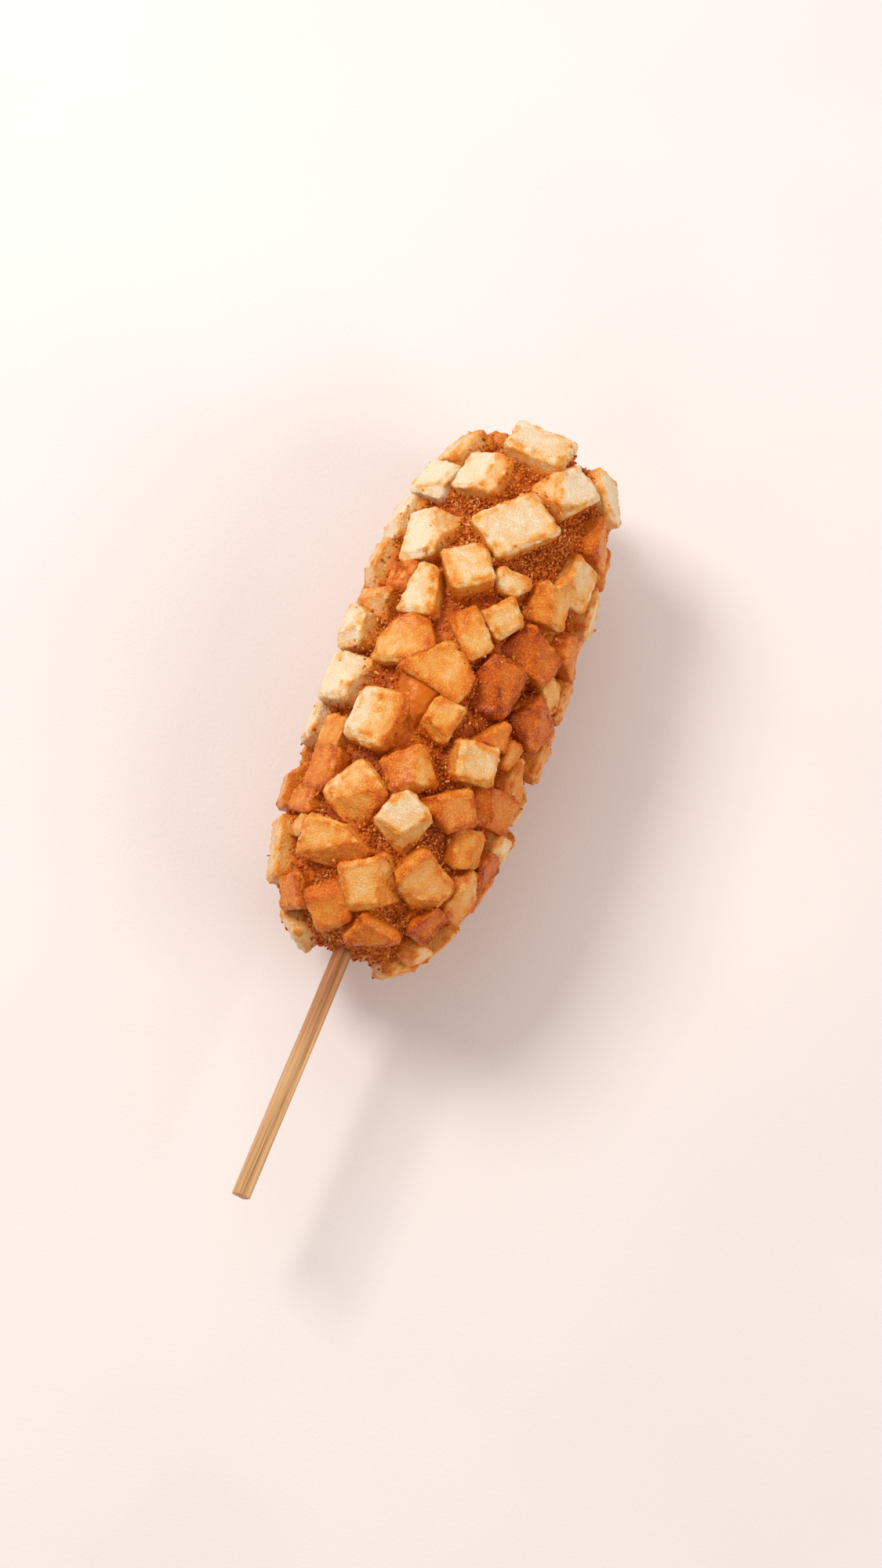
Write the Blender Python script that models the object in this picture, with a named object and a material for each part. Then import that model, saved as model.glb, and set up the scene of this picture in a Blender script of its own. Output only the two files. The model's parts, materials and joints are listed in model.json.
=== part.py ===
"""Potato corn dog on a square bamboo stick, lying down with its dressed side up.

A batter body is set all over with fried potato dice, each a solid of its own. The dog's
own frame has its axis along +Y, from the stick end at station 0 to the tip, with +Z up
and +X to the right. Sizes are in millimetres and become metres as each mesh is made.
"""

import math
import random
from dataclasses import dataclass
from enum import Enum

import bmesh
import bpy
from mathutils import Matrix, Vector

MM = 0.001

# Driving dimensions, in millimetres.
GAP = 0.3                      # clear space between neighbouring pieces
DOG_RADIUS = 28.3              # over the potato
DOG_START, DOG_END = -2.0, 139.5
BATTER_RADIUS = 22.4
BATTER_START, BATTER_END = 3.0, 133.5
FULLNESS = 2.9                 # exponent of the superellipse that both outlines follow
SWAY = -2.0                    # the dog's upper half leans this far to -X
SWAY_FROM, SWAY_TO = 35.0, 150.0
AXIS_HEIGHT = 27.0             # the dog's axis over what it lies on
LUMP = 0.45                    # unevenness of the batter
BATTER_SIDES, BATTER_RINGS = 26, 18

STICK_SIDE = 3.6
STICK_SHOWN = 61.6
STICK_SUNK = 118.0
STICK_TURN = 22.0              # degrees, about its own axis
STICK_ARRIS = 0.35

DICE_DEPTH = 9.5               # deep enough to reach into the batter everywhere
DICE_DRAFT = 0.90              # a die's inner face against its outer one
DICE_ARRIS = 0.8
ROUNDED_ARRIS = 2.2
NUDGE = 0.55                   # how far a corner strays from a true block's
SEED = 11


class Cut(Enum):
    """How a piece of potato was cut."""

    BLOCK = "block"
    ROUNDED = "rounded"
    HALF = "half"
    FAN = "fan"
    WEDGE = "wedge"


class Tone(Enum):
    """How far a piece is fried: the colour that its material starts from."""

    PALE = (0.80, 0.56, 0.27)
    GOLD = (0.68, 0.35, 0.10)
    BROWN = (0.45, 0.17, 0.04)


@dataclass(frozen=True)
class Dice:
    """One piece of potato, placed by station along the dog and bearing round it.

    Bearing is in degrees from the top towards +X. Length lies along the dog and width
    across it, until turn swings the length towards greater bearing. Pitch tips the outer
    face towards the tip, roll tips it towards greater bearing, lift raises it.
    """

    station: float
    bearing: float
    length: float
    width: float
    turn: float = 0.0
    tone: Tone = Tone.GOLD
    cut: Cut = Cut.BLOCK
    skew: float = 0.0
    narrow: float = 1.0
    pitch: float = 0.0
    roll: float = 0.0
    lift: float = 0.0


PALE, GOLD, BROWN = Tone.PALE, Tone.GOLD, Tone.BROWN
BLOCK, ROUNDED, HALF, FAN, WEDGE = Cut.BLOCK, Cut.ROUNDED, Cut.HALF, Cut.FAN, Cut.WEDGE

# Pieces earlier in a table keep their shape where two of them meet.
TIP_DICE = (
    Dice(107, 1, 16.5, 12.5, 36, PALE, skew=5, lift=0.5),
    Dice(123, 24, 12.5, 10.5, 33, PALE, skew=8),
    Dice(118.5, -33, 10.5, 12, 0, PALE, roll=-10),
    Dice(131.5, -8, 12, 15, 3, GOLD),
    Dice(115, -61, 9.5, 11, 5, PALE, roll=10, lift=0.8),
    Dice(99, -45, 14, 10, -12, PALE, narrow=1.3, roll=-6),
    Dice(93.5, -13, 11, 10, -35, GOLD, pitch=12),
    Dice(103, 51, 11, 9, 8, PALE, roll=-8, lift=-0.5),
    Dice(93.5, 37, 9, 9.5, -5, GOLD),
    Dice(128, 60, 13, 10, -5, GOLD, lift=0.8),
    Dice(116.5, 64, 12, 10, 10, BROWN, lift=-0.5),
    Dice(104.5, -79, 11, 11, 0, GOLD, lift=0.8),
    Dice(100, 79, 11, 9, 0, GOLD, lift=-0.5),
)
MIDDLE_DICE = (
    Dice(84.5, -31, 12.5, 9.5, -5, PALE, narrow=0.5),
    Dice(84.5, 14.5, 8.5, 7.5, 42, PALE),
    Dice(78, 2, 11.5, 6.5, -42, GOLD),
    Dice(67.5, -2, 11.5, 17, 12, GOLD, FAN, skew=20),
    Dice(72, -28, 12.5, 15, -10, GOLD, HALF),
    Dice(87.5, -49, 8.5, 8.5, 0, BROWN, ROUNDED),
    Dice(81.5, -60, 7.5, 11, 20, GOLD),
    Dice(73, -63, 11.5, 9.5, -8, GOLD, lift=2.0),
    Dice(69, 25, 14, 11, 5, BROWN, ROUNDED),
    Dice(80.5, 39, 10, 13, 15, BROWN),
    Dice(86, 65, 11, 10, -35, GOLD, lift=0.8),
    Dice(67, 56, 11, 11, 30, BROWN, lift=1.0),
    Dice(59.5, -59, 12, 11.5, 0, PALE, lift=1.5),
    Dice(51, -31, 14, 13, 5, PALE, ROUNDED, roll=-8, lift=1.2),
    Dice(55.5, 3, 10, 7, 5, GOLD),
    Dice(49.8, 26.5, 9.5, 10, -13, PALE, lift=1.0),
    Dice(58, 32, 9, 9, 0, BROWN, WEDGE),
    Dice(52.5, 60, 9, 9, 0, GOLD),
    Dice(92, -82, 12, 9, 0, GOLD, lift=0.5),
    Dice(74.5, 56, 8, 11, -15, PALE, lift=-0.5),
    Dice(78, 82, 10, 9, 0, GOLD),
    Dice(62, 82, 10, 9, 0, GOLD),
)
HEEL_DICE = (
    Dice(41, -5.5, 10.5, 9, 52, GOLD, roll=-10, lift=0.8),
    Dice(32.5, -27, 13, 13, 35, PALE, ROUNDED),
    Dice(30, 3, 11, 11.5, 26, PALE, skew=-13, lift=0.5),
    Dice(36.5, 25, 11.5, 9, 47, BROWN),
    Dice(44, 50, 11, 13, -5, GOLD),
    Dice(31.5, 45, 9, 8, -20, PALE),
    Dice(13.5, -1.5, 11.5, 12, -36, GOLD, roll=-6),
    Dice(19.5, -31, 10, 17, 3, PALE),
    Dice(19, 30, 11, 13, 20, GOLD),
    Dice(45.5, -51, 8, 9, 0, BROWN),
    Dice(50, -82, 10, 9, 0, PALE),
    Dice(38.5, 71, 8, 9, 0, PALE),
    Dice(31, 69, 8, 8, 30, BROWN),
    Dice(37, -54, 12, 9, 0, BROWN),
    Dice(29.5, -64, 8, 10, 0, GOLD),
    Dice(18, -84, 15, 10, 0, PALE, lift=1.0),
    Dice(22, 63, 12, 9, 0, PALE),
    Dice(13.5, 54, 12, 11, 0, BROWN),
    Dice(6, -25, 10, 10, -30, GOLD),
    Dice(8.5, -62, 10, 9, 0, GOLD),
    Dice(3, 20, 8, 11, 0, GOLD),
    Dice(1.5, -105, 8, 12, 0, PALE, lift=-0.5),
    Dice(1.5, 104, 8, 11, 0, GOLD, lift=-0.5),
)
# Smaller pieces that are one solid with the batter.
SMALL_DICE = (
    Dice(126, -66, 10, 9, lift=1.0),
    Dice(94, 13, 6, 9, lift=-1.5),
    Dice(56, 49, 7, 8),
    Dice(34, -84, 13, 10, lift=1.5),
    Dice(23.5, -60, 7, 8),
    Dice(6, 76, 8, 8, lift=-0.5),
)

# Pieces on the side that the dog lies on, one solid with the batter: staggered rows.
UNDER_FROM, UNDER_TO, UNDER_ROWS = 12.0, 128.0, 9
UNDER_BEARINGS = (104.0, 134.0, 164.0, 195.0, 225.0, 255.0)
UNDER_SIZE = 13.0
UNDER_SPREAD = 1.6             # how far a size or a place there strays
UNDER_LIFT = -1.0              # against the potato's outline


def girth(station: float, radius: float, start: float, end: float) -> float:
    """Radius of a superellipse of revolution at a station."""
    half = (end - start) / 2
    reach = min(1.0, abs(station - start - half) / half)
    return radius * (1 - reach**FULLNESS) ** (1 / FULLNESS)


def sway(station: float) -> float:
    """Sideways lean of the dog's axis at a station."""
    reach = min(1.0, max(0.0, (station - SWAY_FROM) / (SWAY_TO - SWAY_FROM)))
    return SWAY * math.sin(math.pi * reach)


def surface_frame(station: float, bearing: float) -> Matrix:
    """Frame on the dog's outline: X across, Y along it, Z outwards."""
    half = (DOG_END - DOG_START) / 2
    reach = (station - DOG_START - half) / half
    radius = girth(station, DOG_RADIUS, DOG_START, DOG_END)
    rise = (radius / DOG_RADIUS) ** (FULLNESS - 1) / DOG_RADIUS
    run = math.copysign(abs(reach) ** (FULLNESS - 1), reach) / half
    angle = math.radians(bearing)
    radial = Vector((math.sin(angle), 0, math.cos(angle)))
    outward = (radial * rise + Vector((0, run, 0))).normalized()
    across = Vector((math.cos(angle), 0, -math.sin(angle)))
    along = outward.cross(across)
    origin = radial * radius + Vector((sway(station), station, 0))
    frame = Matrix((across, along, outward)).transposed().to_4x4()
    frame.translation = origin
    return frame


def outline(dice: Dice) -> list[tuple[float, float]]:
    """Corners of a piece's outer face, anticlockwise, before it is turned."""
    x, y = dice.width / 2, dice.length / 2
    if dice.cut is Cut.HALF:
        arc = [math.pi * step / 6 for step in range(7)]
        corners = [(x * math.cos(a), 2 * y * math.sin(a) - y) for a in arc]
    elif dice.cut is Cut.FAN:
        arc = [math.pi / 2 * step / 4 for step in range(5)]
        corners = [(x * (1.6 * math.sin(a) - 0.6), y * (2 * math.cos(a) - 1)) for a in arc]
        corners = [(-x, -y), *reversed(corners)]
    elif dice.cut is Cut.WEDGE:
        corners = [(-x, -y), (x, -y), (0.6 * x, y), (0.2 * x, y)]
    else:
        corners = [(-x, -y), (x, -y), (x * dice.narrow, y), (-x * dice.narrow, y)]
    lean = math.tan(math.radians(dice.skew))
    return [(px + lean * py, py) for px, py in corners]


def placement(dice: Dice) -> Matrix:
    """Frame of a piece's outer face in the dog's frame."""
    tilt = Matrix.Rotation(math.radians(-dice.pitch), 4, "X")
    tilt @= Matrix.Rotation(math.radians(dice.roll), 4, "Y")
    turn = Matrix.Rotation(math.radians(-dice.turn), 4, "Z")
    lift = Matrix.Translation((0, 0, dice.lift))
    return surface_frame(dice.station, dice.bearing) @ lift @ tilt @ turn


def potato_solid(dice: Dice, chance: random.Random) -> bmesh.types.BMesh:
    """Closed convex solid of one piece, in the dog's frame, with sharp edges."""
    solid = bmesh.new()
    for height, scale in ((0.0, 1.0), (-DICE_DEPTH, DICE_DRAFT)):
        for x, y in outline(dice):
            nudge = [chance.uniform(-NUDGE, NUDGE) for _ in range(3)]
            sunk = height + (nudge[2] if height else 0.0)
            solid.verts.new((x * scale + nudge[0], y * scale + nudge[1], sunk))
    bmesh.ops.convex_hull(solid, input=solid.verts)
    bmesh.ops.dissolve_limit(
        solid, angle_limit=math.radians(2), verts=solid.verts, edges=solid.edges
    )
    solid.transform(placement(dice))
    solid.normal_update()
    return solid


def walls(solid: bmesh.types.BMesh) -> list[tuple[Vector, Vector]]:
    """A point and the outward normal of each face of a convex solid."""
    return [(face.calc_center_median(), face.normal.copy()) for face in solid.faces]


def soften(solid: bmesh.types.BMesh, dice: Dice) -> None:
    """Take the arrises off a piece, wide and round on a rounded one."""
    rounded = dice.cut is Cut.ROUNDED
    edges = [e for e in solid.edges if e.calc_face_angle(0) > math.radians(25)]
    bmesh.ops.bevel(
        solid,
        geom=edges,
        offset=ROUNDED_ARRIS if rounded else DICE_ARRIS,
        segments=2 if rounded else 1,
        profile=0.5,
        affect="EDGES",
        clamp_overlap=True,
    )


def face_out(solid: bmesh.types.BMesh) -> None:
    """Make the faces of a closed solid agree and point outwards."""
    bmesh.ops.recalc_face_normals(solid, faces=solid.faces)
    if solid.calc_volume(signed=True) < 0:
        bmesh.ops.reverse_faces(solid, faces=solid.faces)


def plane_off(solid: bmesh.types.BMesh, point: Vector, normal: Vector) -> None:
    """Keep the side of a convex solid that the normal points to, and close it."""
    everything = [*solid.verts, *solid.edges, *solid.faces]
    bmesh.ops.bisect_plane(
        solid, geom=everything, plane_co=point, plane_no=normal, clear_inner=True
    )
    rim = [edge for edge in solid.edges if edge.is_boundary]
    if rim:
        bmesh.ops.holes_fill(solid, edges=rim)
        bmesh.ops.remove_doubles(solid, verts=solid.verts, dist=0.02)
        face_out(solid)


def press_clear(solid: bmesh.types.BMesh, neighbour: list[tuple[Vector, Vector]]) -> None:
    """Plane a piece back to the neighbour's nearest wall, where they would meet."""
    def clearance(wall: tuple[Vector, Vector]) -> float:
        return min((vert.co - wall[0]).dot(wall[1]) for vert in solid.verts)

    point, normal = max(neighbour, key=clearance)
    if clearance((point, normal)) < GAP:
        plane_off(solid, point + normal * GAP, normal)


def batter_skin(swell: float) -> bmesh.types.BMesh:
    """The batter's lumpy body of revolution, swollen by a margin all over."""
    skin = bmesh.new()
    bmesh.ops.create_uvsphere(
        skin, u_segments=BATTER_SIDES, v_segments=BATTER_RINGS, radius=1.0
    )
    half = (BATTER_END - BATTER_START) / 2 + swell
    for vert in skin.verts:
        unit = vert.co.normalized()
        flat = math.hypot(unit.x, unit.y)
        reach = math.copysign(abs(unit.z) ** (2 / FULLNESS), unit.z)
        radius = (BATTER_RADIUS + swell) * flat ** (2 / FULLNESS)
        station = (BATTER_START + BATTER_END) / 2 + half * reach
        angle = math.atan2(unit.y, unit.x)
        lump = math.sin(3 * angle + station / 9) + math.sin(2 * angle - station / 6 + 1)
        radius *= 1 + LUMP * lump / (2 * BATTER_RADIUS)
        vert.co = (
            sway(station) + radius * math.sin(angle),
            station,
            radius * math.cos(angle),
        )
    face_out(skin)
    return skin


def stick_solid(side: float, start: float, end: float, arris: float) -> bmesh.types.BMesh:
    """A square bar along the dog's axis, turned about it, with softened arrises."""
    bar = bmesh.new()
    size = Matrix.Diagonal((side, end - start, side, 1))
    middle = Matrix.Translation((0, (start + end) / 2, 0))
    turn = Matrix.Rotation(math.radians(STICK_TURN), 4, "Y")
    bmesh.ops.create_cube(bar, size=1.0, matrix=middle @ turn @ size)
    if arris:
        bmesh.ops.bevel(
            bar, geom=bar.edges, offset=arris, segments=2, profile=0.5, affect="EDGES"
        )
    return bar


def material(name: str, colour: tuple[float, float, float], roughness: float) -> bpy.types.Material:
    """A Principled material of one colour."""
    made = bpy.data.materials.new(name)
    made.use_nodes = True
    shader = made.node_tree.nodes["Principled BSDF"]
    shader.inputs["Base Color"].default_value = (*colour, 1.0)
    shader.inputs["Roughness"].default_value = roughness
    shader.inputs["Metallic"].default_value = 0.0
    made.diffuse_color = (*colour, 1.0)
    return made


def add_object(
    name: str, solid: bmesh.types.BMesh, dress: bpy.types.Material, holder: bpy.types.Object
) -> bpy.types.Object:
    """Turn a solid in millimetres into a named object that hangs on the holder."""
    solid.transform(Matrix.Scale(MM, 4))
    mesh = bpy.data.meshes.new(name)
    solid.to_mesh(mesh)
    solid.free()
    mesh.materials.append(dress)
    made = bpy.data.objects.new(name, mesh)
    bpy.context.scene.collection.objects.link(made)
    made.parent = holder
    return made


def as_guide(made: bpy.types.Object) -> bpy.types.Object:
    """Mark an object as one that only cuts or joins others."""
    made.hide_render = True
    made.display_type = "WIRE"
    return made


def combine(target: bpy.types.Object, tool: bpy.types.Object, operation: str) -> None:
    """Put a Boolean of a guide on an object."""
    step = target.modifiers.new(tool.name, "BOOLEAN")
    step.operation = operation
    step.object = tool
    step.solver = "EXACT"


def under_dice(chance: random.Random) -> list[Dice]:
    """The staggered rows of pieces on the side that the dog lies on."""
    rows = []
    pitch = (UNDER_TO - UNDER_FROM) / (UNDER_ROWS - 1)
    for row in range(UNDER_ROWS):
        for column, bearing in enumerate(UNDER_BEARINGS):
            stagger = pitch / 2 if column % 2 else 0.0
            rows.append(
                Dice(
                    station=UNDER_FROM + pitch * row + stagger + chance.uniform(-1, 1) * UNDER_SPREAD,
                    bearing=bearing + chance.uniform(-4, 4),
                    length=UNDER_SIZE + chance.uniform(-1, 1) * UNDER_SPREAD,
                    width=UNDER_SIZE + chance.uniform(-1, 1) * UNDER_SPREAD,
                    turn=chance.uniform(-40, 40),
                    lift=UNDER_LIFT,
                )
            )
    return rows


def main() -> None:
    """Build the dog in its own frame, then set it on the ground about the origin."""
    for old in list(bpy.data.objects):
        bpy.data.objects.remove(old, do_unlink=True)
    chance = random.Random(SEED)
    holder = bpy.data.objects.new("corn_dog", None)
    bpy.context.scene.collection.objects.link(holder)
    tones = {tone: material(f"potato_{tone.name.lower()}", tone.value, 0.45) for tone in Tone}
    batter_look = material("batter", (0.42, 0.15, 0.035), 0.6)
    bamboo_look = material("bamboo", (0.62, 0.38, 0.16), 0.55)

    stick = add_object(
        "stick", stick_solid(STICK_SIDE, -STICK_SHOWN, STICK_SUNK, STICK_ARRIS), bamboo_look, holder
    )
    batter = add_object("batter_body", batter_skin(0.0), batter_look, holder)
    clear_batter = as_guide(add_object("batter_clear", batter_skin(GAP), batter_look, holder))
    clear_stick = as_guide(
        add_object(
            "stick_clear",
            stick_solid(STICK_SIDE + 2 * GAP, -STICK_SHOWN, STICK_SUNK + GAP, 0.0),
            bamboo_look,
            holder,
        )
    )

    shown = [
        *((f"potato_tip_{n:02d}", dice) for n, dice in enumerate(TIP_DICE, 1)),
        *((f"potato_middle_{n:02d}", dice) for n, dice in enumerate(MIDDLE_DICE, 1)),
        *((f"potato_heel_{n:02d}", dice) for n, dice in enumerate(HEEL_DICE, 1)),
    ]
    joined = [
        (f"joined_{n:02d}", dice)
        for n, dice in enumerate([*SMALL_DICE, *under_dice(chance)], 1)
    ]
    floor = Vector((0, 0, -AXIS_HEIGHT))
    pressed = [walls(stick_solid(STICK_SIDE, -STICK_SHOWN, STICK_SUNK, 0.0))]
    for name, dice in [*shown, *joined]:
        solid = potato_solid(dice, chance)
        faces = walls(solid)
        soften(solid, dice)
        for neighbour in pressed:
            press_clear(solid, neighbour)
        plane_off(solid, floor, Vector((0, 0, 1)))
        pressed.append(faces)
        piece = add_object(name, solid, tones[dice.tone], holder)
        if name.startswith("joined"):
            combine(batter, as_guide(piece), "UNION")
        else:
            combine(piece, clear_batter, "DIFFERENCE")
    combine(batter, clear_stick, "DIFFERENCE")

    bpy.context.view_layer.update()
    depsgraph = bpy.context.evaluated_depsgraph_get()
    corners = [
        Vector(corner)
        for made in bpy.data.objects
        if made.type == "MESH" and not made.hide_render
        for corner in made.evaluated_get(depsgraph).bound_box
    ]
    lows = [min(corner[axis] for corner in corners) for axis in range(3)]
    highs = [max(corner[axis] for corner in corners) for axis in range(3)]
    holder.location = (-(lows[0] + highs[0]) / 2, -(lows[1] + highs[1]) / 2, -lows[2])


main()
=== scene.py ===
"""Looks of a potato corn dog: fried dice in a crumbed batter crust on a bamboo stick.

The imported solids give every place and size. Each die is copied from its solid, then
rounded, blistered and browned; the crust, the crumbs and the stick are modelled here.
"""

import itertools
import json
import logging
import math
from collections.abc import Iterable, Iterator, Sequence
from contextlib import contextmanager
from dataclasses import dataclass, field, replace
from enum import Enum

import bpy
import numpy as np
from mathutils import Matrix, Vector

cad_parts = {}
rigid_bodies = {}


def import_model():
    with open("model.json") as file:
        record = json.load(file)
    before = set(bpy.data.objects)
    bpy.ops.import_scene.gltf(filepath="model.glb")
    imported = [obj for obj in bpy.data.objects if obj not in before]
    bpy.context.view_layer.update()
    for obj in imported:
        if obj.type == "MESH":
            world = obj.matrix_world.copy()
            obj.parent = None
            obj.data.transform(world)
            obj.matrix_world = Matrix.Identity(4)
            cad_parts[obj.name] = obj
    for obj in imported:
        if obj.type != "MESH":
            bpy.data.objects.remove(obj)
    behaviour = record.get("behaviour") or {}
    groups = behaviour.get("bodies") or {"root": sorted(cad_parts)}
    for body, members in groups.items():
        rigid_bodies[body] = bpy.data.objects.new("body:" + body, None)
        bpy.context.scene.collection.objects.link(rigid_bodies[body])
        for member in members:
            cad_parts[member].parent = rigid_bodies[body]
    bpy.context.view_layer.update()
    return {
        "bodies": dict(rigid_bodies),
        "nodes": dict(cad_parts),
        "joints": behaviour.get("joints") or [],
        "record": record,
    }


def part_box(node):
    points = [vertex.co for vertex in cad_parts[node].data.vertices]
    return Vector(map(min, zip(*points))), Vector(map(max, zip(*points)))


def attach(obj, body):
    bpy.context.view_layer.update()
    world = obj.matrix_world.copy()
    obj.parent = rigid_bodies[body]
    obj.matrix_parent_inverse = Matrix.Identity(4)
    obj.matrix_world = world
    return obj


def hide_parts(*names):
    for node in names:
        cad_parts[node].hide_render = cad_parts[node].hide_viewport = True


MM = 0.001
BODY = "root"
WELD = 0.01 * MM  # corners closer than this are one corner
FLAT = math.radians(1)  # faces that meet flatter than this are one face
LOG = logging.getLogger("corn_dog")

Colour = tuple[float, float, float]
Stops = Sequence[tuple[float, Colour]]


def smooth(low: float, high: float, values: np.ndarray) -> np.ndarray:
    """Rise smoothly from 0 at low to 1 at high."""
    share = np.clip((values - low) / (high - low), 0.0, 1.0)
    return share * share * (3 - 2 * share)


def bell(values: np.ndarray, reach: float) -> np.ndarray:
    """Fall from 1 at no distance towards 0 past the reach."""
    return np.exp(-((values / reach) ** 2))


def level_way(heading: float) -> np.ndarray:
    """The level direction at a heading, in degrees from the tip's way towards +X."""
    turn = math.radians(heading)
    return np.array([math.sin(turn), math.cos(turn), 0.0])


class Haze:
    """Smooth seeded noise from 0 to 1, read at many points at once."""

    SIDE = 32

    def __init__(self, seed: int) -> None:
        """Fill the lattice that the noise is read from."""
        self._lattice = np.random.default_rng(seed).random((self.SIDE,) * 3)

    def at(self, points: np.ndarray, size: float | tuple[float, float, float]) -> np.ndarray:
        """Read the noise.

        Args:
            points: Places in metres, one to a row.
            size: Width of a blotch in metres, or one width for each axis.

        Returns:
            One value for each point.
        """
        scaled = points / np.asarray(size)
        cell = np.floor(scaled).astype(int)
        share = scaled - cell
        share = share * share * (3 - 2 * share)
        total = np.zeros(len(points))
        for corner in itertools.product((0, 1), repeat=3):
            weight = np.prod(np.where(corner, share, 1 - share), axis=1)
            total += weight * self._lattice[tuple(((cell + corner) % self.SIDE).T)]
        return total


class Workpiece:
    """One mesh on the bench, with the moves that shape it."""

    def __init__(self, thing: bpy.types.Object) -> None:
        """Take hold of an object that stands at the origin."""
        self.thing = thing

    @classmethod
    def of_mesh(cls, name: str, mesh: bpy.types.Mesh) -> "Workpiece":
        """Put a mesh in the scene.

        Args:
            name: The new piece's name.
            mesh: A mesh that no other piece uses.

        Returns:
            The new piece.
        """
        thing = bpy.data.objects.new(name, mesh)
        bpy.context.scene.collection.objects.link(thing)
        return cls(thing)

    @classmethod
    def copy_of(cls, source: bpy.types.Object, name: str) -> "Workpiece":
        """Copy a solid, weld its loose triangles and melt them into whole faces.

        Args:
            source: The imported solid.
            name: The copy's name.

        Returns:
            The copy.
        """
        piece = cls.of_mesh(name, source.data.copy())
        with piece.edit_mode():
            bpy.ops.mesh.remove_doubles(threshold=WELD)
            bpy.ops.mesh.dissolve_limited(angle_limit=FLAT)
        return piece

    @classmethod
    def ball(cls, segments: int, rings: int) -> "Workpiece":
        """Add a ball of radius 1, which is then drawn out to its shape.

        Args:
            segments: How many faces go round it.
            rings: How many faces go from pole to pole.

        Returns:
            The ball.
        """
        bpy.ops.object.select_all(action="DESELECT")
        bpy.ops.mesh.primitive_uv_sphere_add(segments=segments, ring_count=rings)
        return cls(bpy.context.object)

    @property
    def points(self) -> np.ndarray:
        """Places of the vertices, one to a row."""
        return self._read(self.thing.data.vertices, "co")

    @points.setter
    def points(self, places: np.ndarray) -> None:
        """Move the vertices to new places."""
        self.thing.data.vertices.foreach_set("co", places.astype(np.float32).ravel())
        self.thing.data.update()

    @property
    def normals(self) -> np.ndarray:
        """Directions of the vertices, one to a row."""
        return self._read(self.thing.data.vertex_normals, "vector")

    @staticmethod
    def _read(items: bpy.types.bpy_prop_collection, name: str) -> np.ndarray:
        """Read a vector of every item.

        Args:
            items: Vertices or their normals.
            name: What the vector is called there.

        Returns:
            The vectors, one to a row.
        """
        found = np.empty(len(items) * 3, np.float32)
        items.foreach_get(name, found)
        return found.reshape(-1, 3).astype(float)

    def faces(self) -> tuple[np.ndarray, np.ndarray, np.ndarray]:
        """Read the faces.

        Returns:
            Their middles, directions and areas, one face to a row.
        """
        faces = self.thing.data.polygons
        middles = np.array([face.center for face in faces])
        normals = np.array([face.normal for face in faces])
        return middles, normals, np.array([face.area for face in faces])

    def pick(self) -> None:
        """Select this piece alone."""
        bpy.ops.object.select_all(action="DESELECT")
        self.thing.select_set(True)
        bpy.context.view_layer.objects.active = self.thing

    @contextmanager
    def edit_mode(self, whole: bool = True) -> Iterator[None]:
        """Work on this piece alone in edit mode.

        Args:
            whole: Whether all of it is selected; otherwise what is selected stays so.

        Yields:
            Nothing; the mode ends with the block.
        """
        self.pick()
        bpy.ops.object.mode_set(mode="EDIT")
        if whole:
            bpy.ops.mesh.select_all(action="SELECT")
        yield
        bpy.ops.object.mode_set(mode="OBJECT")

    def cut(self, point: Sequence[float], normal: Sequence[float]) -> None:
        """Cut the piece by a plane, drop what lies outside it and close the cut."""
        with self.edit_mode():
            bpy.ops.mesh.bisect(plane_co=point, plane_no=normal, use_fill=True, clear_outer=True)

    def apply(self, kind: str, **settings: object) -> None:
        """Apply one modifier.

        Args:
            kind: The modifier's type.
            settings: Its settings by name.
        """
        self.pick()
        step = self.thing.modifiers.new(kind.lower(), kind)
        for name, value in settings.items():
            setattr(step, name, value)
        bpy.ops.object.modifier_apply(modifier=step.name)

    def reskin(self, voxel: float, smoothing: float, rounds: int) -> None:
        """Rebuild the piece as one even skin and soften it.

        Args:
            voxel: Width of the skin's faces in metres.
            smoothing: How far each round of smoothing goes, from 0 to 1.
            rounds: How many rounds there are.
        """
        self.apply("REMESH", mode="VOXEL", voxel_size=voxel)
        self.apply("SMOOTH", factor=smoothing, iterations=rounds)

    def roughen(self, size: float, strength: float, depth: int) -> None:
        """Push the surface in and out by cloudy noise.

        Args:
            size: Width of a lump in metres.
            strength: Height from the deepest place to the highest, in metres.
            depth: How many finer layers the noise has.
        """
        clouds = bpy.data.textures.new("lumps", "CLOUDS")
        clouds.noise_scale = size
        clouds.noise_depth = depth
        self.apply(
            "DISPLACE", texture=clouds, texture_coords="LOCAL", strength=strength, mid_level=0.5
        )
        bpy.data.textures.remove(clouds)

    def push(self, amounts: np.ndarray) -> None:
        """Move each vertex along its own normal by an amount in metres."""
        self.points = self.points + self.normals * amounts[:, None]

    def shade(self, soft: bool = True) -> None:
        """Shade the faces.

        Args:
            soft: Whether they look like one soft surface; otherwise each is flat.
        """
        self.pick()
        if soft:
            bpy.ops.object.shade_smooth()
        else:
            bpy.ops.object.shade_flat()

    def stand(self) -> None:
        """Flatten what would reach below the surface that the food lies on."""
        places = self.points
        places[:, 2] = np.maximum(places[:, 2], 0.0)
        self.points = places

    def mark(self, name: str, values: np.ndarray) -> None:
        """Store a value on each vertex, under the name that a material reads."""
        layer = self.thing.data.attributes.new(name, "FLOAT", "POINT")
        layer.data.foreach_set("value", values.astype(np.float32))

    def marked(self, name: str) -> np.ndarray:
        """Read back a value stored on each vertex.

        Args:
            name: The name that it was stored under.

        Returns:
            One value for each vertex.
        """
        found = np.empty(len(self.thing.data.vertices), np.float32)
        self.thing.data.attributes[name].data.foreach_get("value", found)
        return found.astype(float)

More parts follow.
